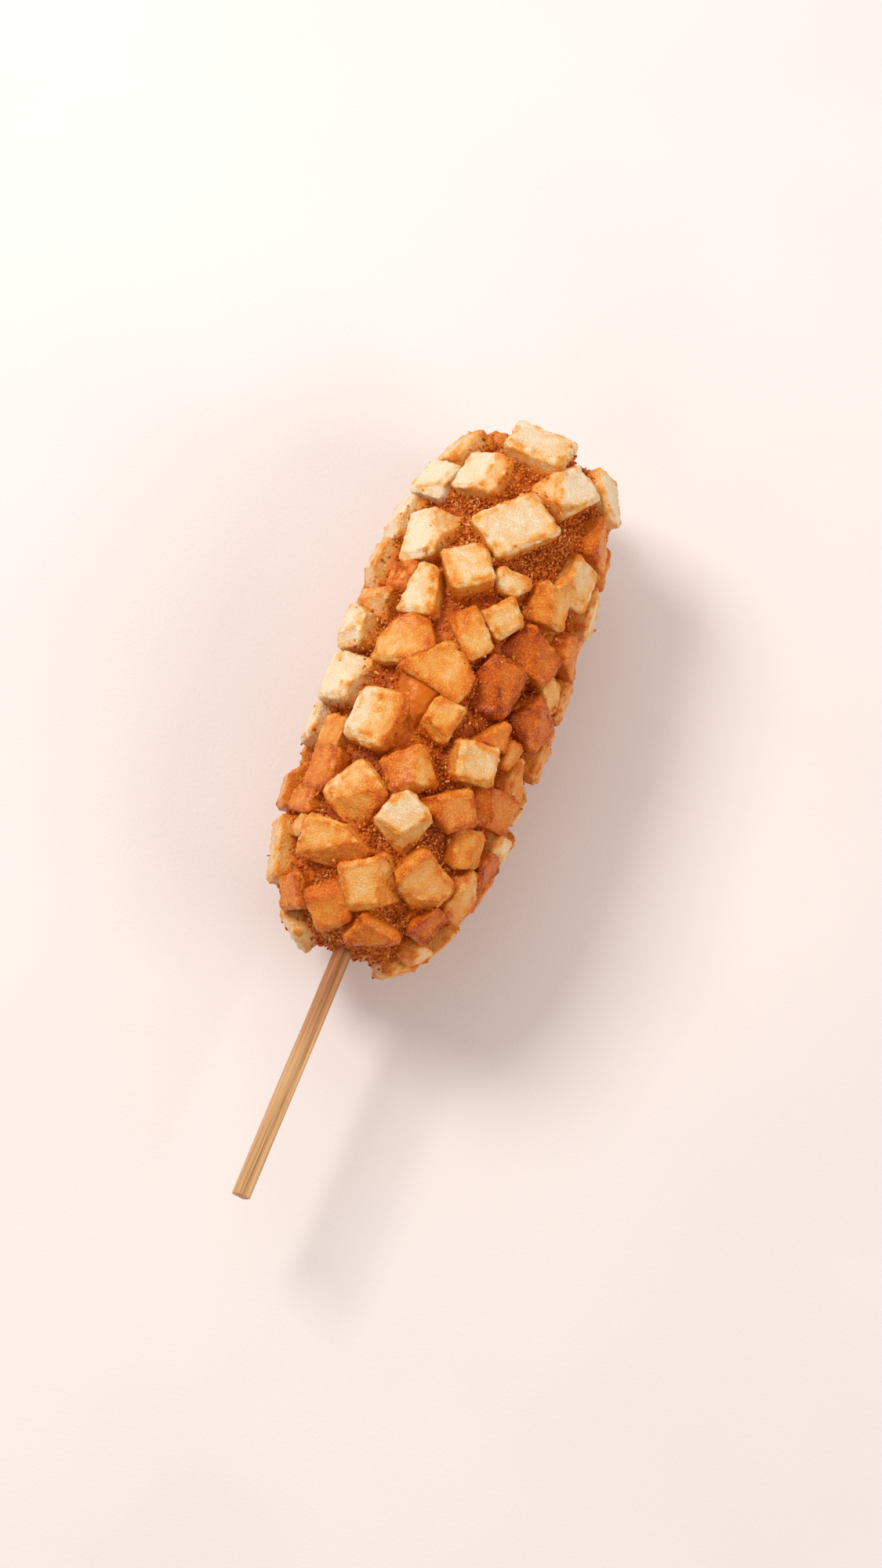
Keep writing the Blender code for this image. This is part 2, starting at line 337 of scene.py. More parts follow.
    def dress(self, finish: bpy.types.Material, slot: str, *replaced: str) -> None:
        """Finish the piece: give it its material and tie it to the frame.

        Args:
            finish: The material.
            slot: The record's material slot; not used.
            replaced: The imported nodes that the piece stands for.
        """
        self.thing.data.materials.clear()
        self.thing.data.materials.append(finish)
        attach(self.thing, BODY)
        if replaced:
            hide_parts(*replaced)
        LOG.info("%s: %d faces", self.thing.name, len(self.thing.data.polygons))


class Signal:
    """A value on its way through a material; arithmetic on it adds Math nodes."""

    def __init__(self, recipe: "Recipe", socket: bpy.types.NodeSocket) -> None:
        """Wrap a node's output."""
        self.recipe = recipe
        self.socket = socket

    def _math(self, operation: str, first: "Signal | float", second: "Signal | float") -> "Signal":
        """Add one Math node."""
        return self.recipe.add("ShaderNodeMath", {"operation": operation}, {0: first, 1: second})

    def __add__(self, other: "Signal | float") -> "Signal":
        """Sum."""
        return self._math("ADD", self, other)

    def __radd__(self, other: float) -> "Signal":
        """Sum, from the right."""
        return self._math("ADD", other, self)

    def __sub__(self, other: "Signal | float") -> "Signal":
        """Difference."""
        return self._math("SUBTRACT", self, other)

    def __rsub__(self, other: float) -> "Signal":
        """Difference, from the right."""
        return self._math("SUBTRACT", other, self)

    def __mul__(self, other: "Signal | float") -> "Signal":
        """Product."""
        return self._math("MULTIPLY", self, other)

    def __rmul__(self, other: float) -> "Signal":
        """Product, from the right."""
        return self._math("MULTIPLY", other, self)


class Recipe:
    """The node tree of one material, built step by step."""

    def __init__(self, name: str) -> None:
        """Start a material with its Principled shader.

        Args:
            name: The material's name.
        """
        self.material = bpy.data.materials.new(name)
        self.material.use_nodes = True
        self.tree = self.material.node_tree
        self.shader = self.tree.nodes["Principled BSDF"]
        self.place = self.add("ShaderNodeTexCoord", output="Object")

    def add(
        self,
        kind: str,
        settings: dict[str, object] | None = None,
        sockets: dict[int | str, object] | None = None,
        output: int | str = 0,
    ) -> Signal:
        """Add a node.

        Args:
            kind: The node's type.
            settings: Its settings by name; stops are a ramp's places and colours.
            sockets: Values or signals for its inputs.
            output: The output to read.

        Returns:
            The signal at that output.
        """
        node = self.tree.nodes.new(kind)
        for name, value in (settings or {}).items():
            if name == "stops":
                self._set_stops(node.color_ramp, value)
            else:
                setattr(node, name, value)
        self._connect(node, sockets or {})
        return Signal(self, node.outputs[output])

    def _set_stops(self, ramp: bpy.types.ColorRamp, stops: Stops) -> None:
        """Give a ramp its stops.

        Args:
            ramp: The ramp.
            stops: Place and colour of each stop, from the lowest to the highest.
        """
        while len(ramp.elements) < len(stops):
            ramp.elements.new(0.5)
        for element, (position, colour) in zip(ramp.elements, stops):
            element.position = position
            element.color = (*colour, 1.0)

    def _connect(self, node: bpy.types.Node, sockets: dict[int | str, object]) -> None:
        """Set or link a node's inputs.

        Args:
            node: The node.
            sockets: Values or signals by the input's name or number.
        """
        for key, value in sockets.items():
            if isinstance(value, Signal):
                self.tree.links.new(value.socket, node.inputs[key])
            else:
                node.inputs[key].default_value = value

    def noise(self, size: float, detail: float = 3.0, stretch: Signal | None = None) -> Signal:
        """Noise from 0 to 1 whose blotches have a width in metres."""
        sockets = {"Vector": stretch or self.place, "Scale": 1 / size, "Detail": detail}
        return self.add("ShaderNodeTexNoise", {}, sockets, "Fac")

    def span(self, value: Signal, low: float, high: float) -> Signal:
        """Rise from 0 to 1 as a value goes from low to high."""
        sockets = {"Value": value, "From Min": low, "From Max": high}
        return self.add("ShaderNodeMapRange", {"interpolation_type": "SMOOTHSTEP"}, sockets)

    def attribute(self, name: str) -> Signal:
        """A value stored on the mesh."""
        return self.add("ShaderNodeAttribute", {"attribute_name": name}, output="Fac")

    def ramp(self, value: Signal, stops: Stops) -> Signal:
        """Colour by value."""
        return self.add("ShaderNodeValToRGB", {"stops": stops}, {"Fac": value}, "Color")

    def mix(self, share: Signal | float, first: Signal | Colour, second: Signal | Colour) -> Signal:
        """Mix two colours.

        Args:
            share: How much of the second is taken, from 0 to 1.
            first: One colour.
            second: The other.

        Returns:
            The mixed colour.
        """
        first, second = (
            (*colour, 1.0) if isinstance(colour, tuple) else colour for colour in (first, second)
        )
        return self.add("ShaderNodeMix", {"data_type": "RGBA"}, {0: share, 6: first, 7: second}, 2)

    def bump(self, height: Signal, distance: float, strength: float = 1.0) -> Signal:
        """Bend the normal by a height, which is as tall as the distance in metres."""
        sockets = {"Height": height, "Distance": distance, "Strength": strength}
        return self.add("ShaderNodeBump", {}, sockets)

    def serve(self, **sockets: object) -> bpy.types.Material:
        """Connect the shader's inputs, whose names have _ for a space, and give the material."""
        self._connect(self.shader, {key.replace("_", " "): val for key, val in sockets.items()})
        return self.material


# Potato from raw white to dark brown, by its toast.
FRYING_COLOURS: Stops = (
    (0.00, (0.88, 0.73, 0.52)),
    (0.12, (0.86, 0.59, 0.32)),
    (0.26, (0.85, 0.455, 0.120)),
    (0.42, (0.82, 0.33, 0.040)),
    (0.58, (0.74, 0.20, 0.013)),
    (0.74, (0.60, 0.110, 0.006)),
    (0.88, (0.38, 0.052, 0.003)),
    (1.00, (0.17, 0.020, 0.002)),
)
STARCH: Colour = (0.95, 0.80, 0.56)

# Batter from golden, where it is thin, to nearly black, which is reached where the crust is
# darkened in the hollows between the dice as painted shade.
BATTER_COLOURS: Stops = (
    (0.00, (0.72, 0.25, 0.025)),
    (0.25, (0.60, 0.145, 0.008)),
    (0.50, (0.46, 0.080, 0.003)),
    (0.75, (0.28, 0.038, 0.002)),
    (1.00, (0.13, 0.014, 0.001)),
)

# Bamboo by how light its fibres are: dry, and dark with oil.
DRY_BAMBOO: Stops = (
    (0.34, (0.24, 0.085, 0.022)),
    (0.42, (0.46, 0.225, 0.080)),
    (0.52, (0.60, 0.340, 0.140)),
    (0.66, (0.72, 0.470, 0.230)),
)
OILY_BAMBOO: Stops = (
    (0.34, (0.16, 0.042, 0.008)),
    (0.50, (0.40, 0.150, 0.036)),
    (0.66, (0.52, 0.24, 0.07)),
)


@dataclass(frozen=True)
class PotatoFinish:
    """Fried potato, from cream through gold to dark brown as its toast mark says."""

    name: str
    roughness: float
    oil: float
    fleck: float = 0.42 * MM
    blister: float = 1.5 * MM
    height: float = 0.36 * MM

    def make(self) -> bpy.types.Material:
        """Build the material.

        Returns:
            The material.
        """
        recipe = Recipe(self.name)
        toast = recipe.attribute("toast")
        flecks = recipe.noise(self.fleck, 4.0)
        blisters = recipe.noise(self.blister)
        grain = recipe.span(flecks, 0.38, 0.62)
        tone = toast + 0.17 * (grain - 0.5) + 0.24 * (blisters - 0.5)
        colour = recipe.ramp(tone, FRYING_COLOURS)
        starch = recipe.span(flecks, 0.53, 0.61) * (1 - recipe.span(toast, 0.15, 0.62))
        colour = recipe.mix(0.45 * starch, colour, STARCH)
        return recipe.serve(
            Base_Color=colour,
            Roughness=self.roughness + 0.35 * (blisters - 0.5),
            Normal=recipe.bump(0.5 * blisters + 0.35 * grain, self.height),
            Specular_IOR_Level=0.35,
            Specular_Tint=(1.0, 0.80, 0.52, 1.0),
            Subsurface_Weight=0.30,
            Subsurface_Radius=(1.0, 0.50, 0.15),
            Subsurface_Scale=1.4 * MM,
            Coat_Weight=self.oil,
            Coat_Roughness=0.18,
        )


@dataclass(frozen=True)
class BatterFinish:
    """Fried batter with crumbs sunk in it: orange-brown, golden where it is thin."""

    name: str = "batter_crust"
    grit: float = 0.8 * MM
    patch: float = 5.0 * MM
    height: float = 0.6 * MM

    def make(self) -> bpy.types.Material:
        """Build the material.

        Returns:
            The material.
        """
        recipe = Recipe(self.name)
        toast = recipe.attribute("toast")
        bare = recipe.span(recipe.attribute("bare"), 0.35, 0.75)
        grit = recipe.noise(self.grit, 4.0)
        patches = recipe.noise(self.patch)
        tone = toast + 0.10 * bare + 0.40 * (grit - 0.5) * (1 - 0.6 * bare) + 0.35 * (patches - 0.5)
        return recipe.serve(
            Base_Color=recipe.ramp(tone, BATTER_COLOURS),
            Roughness=0.40 - 0.10 * bare + 0.40 * (grit - 0.5),
            Normal=recipe.bump(grit * (1 - 0.7 * bare) + 0.6 * patches, self.height, 0.9),
            Specular_IOR_Level=0.35,
            Specular_Tint=(1.0, 0.62, 0.34, 1.0),
            Subsurface_Weight=0.12,
            Subsurface_Radius=(1.0, 0.4, 0.15),
            Subsurface_Scale=1.0 * MM,
            Coat_Weight=0.06,
            Coat_Roughness=0.25,
        )


@dataclass(frozen=True)
class CrumbFinish:
    """Fried bread crumbs, each its own shade."""

    name: str
    stops: Stops
    grain: float = 0.4 * MM

    def make(self) -> bpy.types.Material:
        """Build the material.

        Returns:
            The material.
        """
        recipe = Recipe(self.name)
        shade = recipe.attribute("toast")
        grain = recipe.noise(self.grain, 2.0)
        return recipe.serve(
            Base_Color=recipe.ramp(shade + 0.25 * (grain - 0.5), self.stops),
            Roughness=0.5 + 0.2 * (grain - 0.5),
            Specular_IOR_Level=0.3,
            Specular_Tint=(1.0, 0.7, 0.42, 1.0),
            Subsurface_Weight=0.15,
            Subsurface_Radius=(1.0, 0.45, 0.15),
            Subsurface_Scale=0.6 * MM,
            Coat_Weight=0.05,
            Coat_Roughness=0.3,
        )


@dataclass(frozen=True)
class BambooFinish:
    """Bare bamboo with fine dark fibres, darker with oil from one place on Y to another."""

    oil_from: float
    oil_to: float
    name: str = "bamboo_stick"
    fibre: float = 0.32 * MM
    strand: float = 1.3 * MM
    height: float = 0.12 * MM

    def make(self) -> bpy.types.Material:
        """Build the material.

        Returns:
            The material.
        """
        recipe = Recipe(self.name)
        drawn_out = {"Vector": recipe.place, "Scale": (1.0, 0.012, 1.0)}
        along = recipe.add("ShaderNodeMapping", {}, drawn_out)
        fibres = recipe.noise(self.fibre, 3.0, along)
        strands = recipe.noise(self.strand, 2.0, along)
        station = recipe.add("ShaderNodeSeparateXYZ", {}, {0: recipe.place}, "Y")
        oil = recipe.span(station, self.oil_from, self.oil_to)
        wood = fibres * 0.7 + strands * 0.3
        dry, oily = recipe.ramp(wood, DRY_BAMBOO), recipe.ramp(wood, OILY_BAMBOO)
        return recipe.serve(
            Base_Color=recipe.mix(oil, dry, oily),
            Roughness=0.62 - 0.18 * oil + 0.2 * (fibres - 0.5),
            Normal=recipe.bump(fibres, self.height, 0.8),
            Subsurface_Weight=0.05,
            Subsurface_Radius=(1.0, 0.6, 0.3),
            Subsurface_Scale=0.8 * MM,
        )


@dataclass(frozen=True)
class FloorFinish:
    """A pale, warm, matt surface."""

    name: str = "pale_floor"
    colour: Colour = (0.84, 0.785, 0.765)
    cloud: float = 90 * MM
    grain: float = 0.9 * MM
    height: float = 0.15 * MM

    def make(self) -> bpy.types.Material:
        """Build the material.

        Returns:
            The material.
        """
        recipe = Recipe(self.name)
        clouds = recipe.span(recipe.noise(self.cloud, 2.0), 0.35, 0.65)
        darker = tuple(0.97 * channel for channel in self.colour)
        return recipe.serve(
            Base_Color=recipe.mix(clouds, self.colour, darker),
            Roughness=0.85,
            Normal=recipe.bump(recipe.noise(self.grain, 2.0), self.height, 0.5),
        )


@dataclass(frozen=True)
class DogForm:
    """The corn dog's own frame and the shape of its batter, in metres.

    Stations run along the dog from the stick end to the tip; bearings turn from the top
    towards +X. Between two stations the dog sways aside, and its core is the straight
    line inside it that every die points away from.
    """

    origin: Vector
    batter_radius: float = 22.4 * MM
    batter_start: float = 3.0 * MM
    batter_end: float = 133.5 * MM
    fullness: float = 2.9
    end_share: float = 0.95
    sway: float = -2.0 * MM
    sway_from: float = 35.0 * MM
    sway_to: float = 150.0 * MM
    core_from: float = 26.0 * MM
    core_to: float = 112.0 * MM

    @property
    def half_length(self) -> float:
        """Half the batter's length."""
        return (self.batter_end - self.batter_start) / 2

    def _sway(self, stations: np.ndarray) -> np.ndarray:
        """How far the dog stands aside at each station."""
        reach = np.clip((stations - self.sway_from) / (self.sway_to - self.sway_from), 0, 1)
        return self.sway * np.sin(np.pi * reach)

    def local(self, points: np.ndarray) -> np.ndarray:
        """Places in the dog's frame, straightened where the dog sways.

        Args:
            points: Places in the scene, one to a row.

        Returns:
            Each place across the dog, along it and upwards.
        """
        places = points - np.array(self.origin)
        places[:, 0] -= self._sway(places[:, 1])
        return places

    def world(self, places: np.ndarray) -> np.ndarray:
        """The reverse of local.

        Args:
            places: Places in the dog's frame, one to a row.

        Returns:
            The same places in the scene.
        """
        moved = places.copy()
        moved[:, 0] += self._sway(places[:, 1])
        return moved + np.array(self.origin)

    def girth(self, stations: np.ndarray) -> np.ndarray:
        """Radius of the batter at each station."""
        reach = np.abs(stations - self.batter_start - self.half_length) / self.half_length
        return self.batter_radius * self._rounding(reach)

    def _rounding(self, share: np.ndarray) -> np.ndarray:
        """How much is left of one half size at a share of the other, as in a full oval."""
        return (1 - np.clip(share, 0, 1) ** self.fullness) ** (1 / self.fullness)

    def end_gap(self, places: np.ndarray) -> np.ndarray:
        """How far each place is from the batter's end, along the dog.

        Args:
            places: Places in the dog's frame, one to a row.

        Returns:
            The distances; a place at the dog's side counts as half the dog away.
        """
        share = np.hypot(places[:, 0], places[:, 2]) / self.batter_radius
        reach = self.half_length * self._rounding(share)
        gap = np.abs(np.abs(places[:, 1] - self.batter_start - self.half_length) - reach)
        return np.where(share < self.end_share, gap, self.half_length)

    def outward(self, points: np.ndarray) -> np.ndarray:
        """Unit directions away from the dog's core.

        Args:
            points: Places in the scene, one to a row.

        Returns:
            One direction for each.
        """
        places = self.local(points)
        places[:, 1] -= np.clip(places[:, 1], self.core_from, self.core_to)
        return places / np.linalg.norm(places, axis=1, keepdims=True)

    def place(self, station: float, bearing: float, radius: float) -> np.ndarray:
        """One place in the scene.

        Args:
            station: How far along the dog it is.
            bearing: Its bearing in degrees.
            radius: How far out it is.

        Returns:
            The place.
        """
        angle = math.radians(bearing)
        local = np.array([[radius * math.sin(angle), station, radius * math.cos(angle)]])
        return self.world(local)[0]


@dataclass(frozen=True)
class Facet:
    """A second flat face of a die, cut down from its outer face.

    Heading is the way that it falls, in degrees from the tip's way towards +X. Start is how
    far from the middle it begins, in millimetres, slope its fall in degrees, and brown how
    much darker it is than the outer face, lighter where it is negative: partly real frying,
    partly painted light and shade.
    """

    heading: float
    start: float
    slope: float
    brown: float = 0.0


@dataclass(frozen=True)
class Fry:
    """How far a die is fried, from 0, white, to 1, dark brown, and how it was cut.

    Shade lean is painted shade: it adds browning across the die towards a heading, in degrees
    from the tip's way towards +X, and takes as much away on the far side. Hollow is how deep
    the outer face is sunk in the middle, in millimetres.
    """

    top: float
    side: float
    lean: float = 0.0
    heading: float = 0.0
    hollow: float = 0.0
    facets: tuple[Facet, ...] = ()


# How far each die is fried, by its stretch of the dog, in the order of the imported nodes;
# each lean is painted shade, and each facet's browning is partly painted light and shade.
FRYING = {
    "tip": (
        Fry(0.16, 0.36),
        Fry(0.02, 0.30, facets=(Facet(-113, 3.4, 45, 0.12), Facet(157, 4.4, 50, 0.06))),
        Fry(0.06, 0.30, 0.03, 67, facets=(Facet(95, 3.0, 36, 0.12),)),
        Fry(0.10, 0.22, 0.03, 157),
        Fry(-0.06, 0.02, facets=(Facet(157, 3.2, 40),)),
        Fry(-0.02, 0.26, facets=(Facet(67, 3.2, 46, 0.12), Facet(157, 5.4, 40, 0.04))),
        Fry(0.22, 0.44),
        Fry(0.22, 0.34, facets=(Facet(-158, 2.5, 28, 0.05),)),
        Fry(0.38, 0.50, facets=(Facet(-113, 1.8, 34, 0.15),)),
        Fry(0.12, 0.24),
        Fry(0.60, 0.62, facets=(Facet(67, 1.0, 30, -0.10),)),
        Fry(0.00, 0.10, facets=(Facet(157, 2.0, 30),)),
        Fry(0.20, 0.30),
    ),
    "middle": (
        Fry(0.08, 0.30, 0.03, 67, facets=(Facet(75, 2.4, 44, 0.12),)),
        Fry(0.28, 0.42),
        Fry(0.30, 0.46, facets=(Facet(-100, 2.0, 42, 0.14),)),
        Fry(0.42, 0.52),
        Fry(0.44, 0.46, 0.14, 30),
        Fry(0.44, 0.44, hollow=2.2),
        Fry(0.34, 0.42, facets=(Facet(157, 0.8, 32, -0.12),)),
        Fry(0.02, 0.24, 0.06, 50, facets=(Facet(157, 2.8, 30, 0.06),)),
        Fry(0.80, 0.86, facets=(Facet(-113, 0.5, 36, 0.10),)),
        Fry(0.72, 0.78, facets=(Facet(-113, 0.5, 34, 0.12),)),
        Fry(0.50, 0.62, facets=(Facet(67, 0.5, 34, 0.08),)),
        Fry(0.82, 0.86, facets=(Facet(-113, 1.8, 36, -0.05), Facet(22, 3.0, 35, 0.08))),
        Fry(-0.06, 0.12, facets=(Facet(67, 1.4, 28, 0.06),)),
        Fry(0.06, 0.38, 0.10, 90, facets=(Facet(85, 1.6, 26, 0.14), Facet(85, 4.6, 50, 0.34))),
        Fry(0.34, 0.48, facets=(Facet(-158, 3.4, 46, 0.12),)),
        Fry(0.20, 0.38, facets=(Facet(157, 3.8, 46, 0.12),)),
        Fry(0.52, 0.60),
        Fry(0.52, 0.52, facets=(Facet(67, 0.5, 28, -0.10),)),
        Fry(0.16, 0.22, facets=(Facet(157, 1.5, 30),)),
        Fry(0.34, 0.46),
        Fry(0.40, 0.46),
        Fry(0.44, 0.48),
    ),
    "heel": (
        Fry(0.56, 0.56, 0.12, -113, facets=(Facet(67, 1.8, 38, -0.18),)),
        Fry(0.26, 0.52, 0.06, 157, facets=(Facet(150, 0.8, 26, 0.16), Facet(112, 5.0, 45, 0.25))),
        Fry(0.06, 0.28, facets=(Facet(125, 3.2, 42, 0.14), Facet(-158, 4.2, 46, 0.12))),
        Fry(0.48, 0.60, 0.08, 130, facets=(Facet(-113, 2.6, 42, 0.14),)),
        Fry(0.56, 0.62, facets=(Facet(-113, 1.5, 30, 0.12),)),
        Fry(0.34, 0.48, facets=(Facet(-100, 0.2, 30, 0.12),)),
        Fry(0.26, 0.42, facets=(Facet(67, 2.2, 42, 0.06), Facet(157, 4.6, 40, 0.06))),
        Fry(0.34, 0.50, facets=(Facet(157, 0.5, 38, 0.18),)),
        Fry(0.36, 0.46, facets=(Facet(157, 3.4, 38, 0.10),)),
        Fry(0.38, 0.44),
        Fry(-0.10, 0.10),
        Fry(0.08, 0.26),
        Fry(0.80, 0.84),
        Fry(0.60, 0.64),
        Fry(0.50, 0.58),
        Fry(0.18, 0.32),
        Fry(0.38, 0.46, facets=(Facet(67, 2.0, 30, -0.10),)),
        Fry(0.74, 0.78, facets=(Facet(112, 1.8, 32, 0.05),)),
        Fry(0.48, 0.60, facets=(Facet(-23, 2.0, 34, 0.16),)),
        Fry(0.56, 0.60),
        Fry(0.60, 0.68, facets=(Facet(157, 0.6, 38, 0.08),)),
        Fry(0.04, 0.22),
        Fry(0.22, 0.34),
    ),
}

# How much browner each stretch of the dog is than its rows say: partly real frying, partly
# painted shade where the light falls off towards the heel.
EXTRA_FRYING_AND_SHADE = {"tip": 0.0, "middle": 0.03, "heel": 0.06}
EXTRA_SIDE_FRYING = 0.02


@dataclass(frozen=True)
class Browning:
    """What browns a die, where 1 is dark brown, and how far each cause reaches; the lean's reach
    is for painted shade, and the facets' reach for browning that is partly painted light and shade.

    Arrises are browned in specks on the edge and softly beside it, and corners in patches.
    Sides get browner from one depth under the outer face to another. Past the limit the
    browning slows down. Crumbs cling to a belt of the sides, and a few to the arrises.
    """

    shade_lean_reach: float = 6.0 * MM
    facet_reach: float = 0.9 * MM
    hollow: float = 0.40
    speck: float = 0.30
    speck_reach: float = 0.65 * MM
    edge: float = 0.08
    edge_reach: float = 2.0 * MM
    corner: float = 0.12
    corner_reach: float = 1.4 * MM
    side: float = 0.24
    side_from: float = 1.5 * MM
    side_to: float = 6.0 * MM
    patch: float = 0.17
    patch_size: float = 4.0 * MM
    mottle: float = 0.16
    mottle_size: float = 1.6 * MM
    start: float = -0.03
    limit: float = 0.50
    slowing: float = 0.45
    belt: float = 0.45
    belt_top: tuple[float, float] = (1.5 * MM, 4.0 * MM)
    belt_foot: tuple[float, float] = (5.5 * MM, 6.5 * MM)
    stray: float = 0.03
    stray_reach: float = 0.7 * MM


@dataclass
class PotatoDie:
    """One fried die, worked up from its plain solid.

    Slot is the record's material slot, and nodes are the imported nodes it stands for. Voxel
    is how finely it is modelled. Its root is drawn down into the batter from a depth under
    the outer face; only what is above the shown depth has sharp arrises, and crust that is
    within it down to the hidden depth, by the margin, is out of sight. Lumps and blisters
    each have a width and a height, and chips a width, a height and a reach from an arris.
    """

    piece: Workpiece
    fry: Fry
    form: DogForm
    haze: Haze
    slot: str
    nodes: tuple[str, ...] = ()
    voxel: float = 0.40 * MM
    root: float = 1.5 * MM
    root_from: float = 2.4 * MM
    lumps: tuple[float, float] = (6.0 * MM, 0.55 * MM)
    blisters: tuple[float, float] = (1.3 * MM, 0.22 * MM)
    chip_size: float = 1.1 * MM
    chip_height: float = 0.38 * MM
    chip_reach: float = 0.45 * MM
    sunk_face: float = 0.05 * MM
    stout: float = 0.35 * MM
    hollow_reach: float = 3.0 * MM
    face_depth: float = 2.0 * MM
    shown_depth: float = 4.0 * MM
    hidden_depth: float = 12.0 * MM
    hidden_margin: float = 0.4 * MM
    sharp_angle: float = 20.0
    browning: Browning = Browning()
    outward: np.ndarray = field(init=False)
    crown: np.ndarray = field(init=False)
    arrises: np.ndarray = field(init=False)
    walls: tuple[np.ndarray, np.ndarray] = field(init=False)

    def __post_init__(self) -> None:
        """Find the outer face and the arrises, then sink the die's root into the batter."""
        middles, normals, areas = self.piece.faces()
        facing = np.einsum("ij,ij->i", normals, self.form.outward(middles))
        best = int(np.argmax(areas * np.clip(facing, 0, 1) ** 3))
        self.outward, self.crown = normals[best], middles[best]
        for facet in self.fry.facets:
            self.piece.cut(*self._plane(facet))
        points = self.piece.points
        depth = self.depth(points)
        self.arrises = self._find_arrises(points, depth)
        self.walls = self.piece.faces()[:2]
        points[depth > self.root_from] -= self.outward * self.root
        self.piece.points = points

    def _plane(self, facet: Facet) -> tuple[np.ndarray, np.ndarray]:
        """Where a facet's flat face lies.

        Args:
            facet: The facet.

        Returns:
            A point on it and its direction outwards.
        """
        fall = level_way(facet.heading)
        fall -= (fall @ self.outward) * self.outward
        fall /= np.linalg.norm(fall)
        slope = math.radians(facet.slope)
        normal = self.outward * math.cos(slope) + fall * math.sin(slope)
        return self.crown + fall * facet.start * MM, normal

    def depth(self, points: np.ndarray) -> np.ndarray:
        """How far points lie under the outer face."""
        return (self.crown - points) @ self.outward

    def covers(self, points: np.ndarray) -> np.ndarray:
        """Find the points that the die hides.

        Args:
            points: Places in the scene, one to a row.

        Returns:
            Whether each lies inside the plain die.
        """
        middles, normals = self.walls
        past = points @ normals.T - np.einsum("ij,ij->i", middles, normals)
        return (self.depth(points) < self.hidden_depth) & (past.max(axis=1) < -self.hidden_margin)

    def _find_arrises(self, points: np.ndarray, depth: np.ndarray) -> np.ndarray:
        """Find the sharp edges that show.

        Args:
            points: The die's corners.
            depth: How far each lies under the outer face.

        Returns:
            Their end points, as start and end rows.
        """
        around: dict[tuple[int, int], list[np.ndarray]] = {}
        for face in self.piece.thing.data.polygons:
            for key in face.edge_keys:
                around.setdefault(key, []).append(np.array(face.normal))
        sharp = [
            key
            for key, sides in around.items()
            if len(sides) == 2
            and sides[0] @ sides[1] < math.cos(math.radians(self.sharp_angle))
            and min(depth[list(key)]) < self.shown_depth
        ]
        return points[np.array(sharp)]

    def skirt(self, climb: float, spread: float) -> Workpiece:
        """A plain copy that the batter wraps, wider than the die and set lower.

        Args:
            climb: How far under the outer face the batter stops.
            spread: How far it stands out from the die's sides.

        Returns:
            The copy.
        """
        copy = Workpiece.of_mesh("skirt", self.piece.thing.data.copy())
        points = copy.points
        middle = points.mean(axis=0)
        size = np.linalg.norm(points - middle, axis=1).mean()
        copy.points = middle + (points - middle) * (1 + spread / size) - self.outward * climb
        return copy

    def _arris_distances(self, points: np.ndarray) -> tuple[np.ndarray, np.ndarray]:
        """Measure how far points are from the arrises.

        Args:
            points: Places in the scene, one to a row.

        Returns:
            The distance to the nearest arris, and to the nearest end of one.
        """
        start, end = self.arrises[:, 0], self.arrises[:, 1]
        run = end - start
        from_start = points[:, None, :] - start
        share = np.einsum("ijk,jk->ij", from_start, run) / np.maximum((run**2).sum(axis=1), 1e-12)
        nearest = start + np.clip(share, 0, 1)[..., None] * run
        to_edge = np.linalg.norm(points[:, None, :] - nearest, axis=2).min(axis=1)
        to_start = np.linalg.norm(from_start, axis=2)
        to_end = np.linalg.norm(points[:, None, :] - end, axis=2)
        return to_edge, np.minimum(to_start, to_end).min(axis=1)

    def work_up(self) -> None:
        """Round the die, blister its surface and mark how brown it is."""
        self.piece.reskin(self.voxel, 0.2, 1)
        self.piece.roughen(*self.lumps, 1)
        self.piece.roughen(*self.blisters, 2)
        points = self.piece.points
        edge, corner = self._arris_distances(points)
        chips = smooth(0.3, 0.75, self.haze.at(points, self.chip_size)) - 0.20
        sides = smooth(0.2, 0.9, 1 - self.piece.normals @ self.outward)
        self.piece.push(
            self.chip_height * bell(edge, self.chip_reach) * chips
            - self.sunk_face * smooth(0.8 * MM, 3.0 * MM, edge)
            - self.fry.hollow * MM * self._in_hollow(points)
            + self.stout * sides
        )
        self.piece.stand()
        self.piece.shade()
        self._brown(edge, corner)

    def _in_hollow(self, points: np.ndarray) -> np.ndarray:
        """Find the middle of the outer face.

        Args:
            points: Places in the scene, one to a row.

        Returns:
            How deep each would be in a hollow there, from 0 to 1.
        """
        across = points - self.crown
        across -= np.outer(across @ self.outward, self.outward)
        on_face = self.depth(points) < self.face_depth
        return bell(np.linalg.norm(across, axis=1), self.hollow_reach) * on_face

    def _brown(self, edge: np.ndarray, corner: np.ndarray) -> None:
        """Mark toast, the browning with the lean's painted shade and the facets' partly painted
        light and shade, and crumb, how many crumbs stick there.

        Args:
            edge: How far each vertex was from the nearest arris.
            corner: How far it was from the nearest end of one.
        """
        points, normals, how = self.piece.points, self.piece.normals, self.browning
        depth = self.depth(points)
        side = smooth(0.15, 0.75, 1 - normals @ self.outward)
        coarse = self.haze.at(points, how.patch_size)
        fine = self.haze.at(points + 0.5, how.mottle_size)
        towards = (points - self.crown) @ level_way(self.fry.heading)
        toast = self.fry.top * (1 - side) + self.fry.side * side
        # painted shade: darker across the die towards the lean's heading, lighter on the far side
        toast += self.fry.lean * np.clip(towards / how.shade_lean_reach, -1, 1)
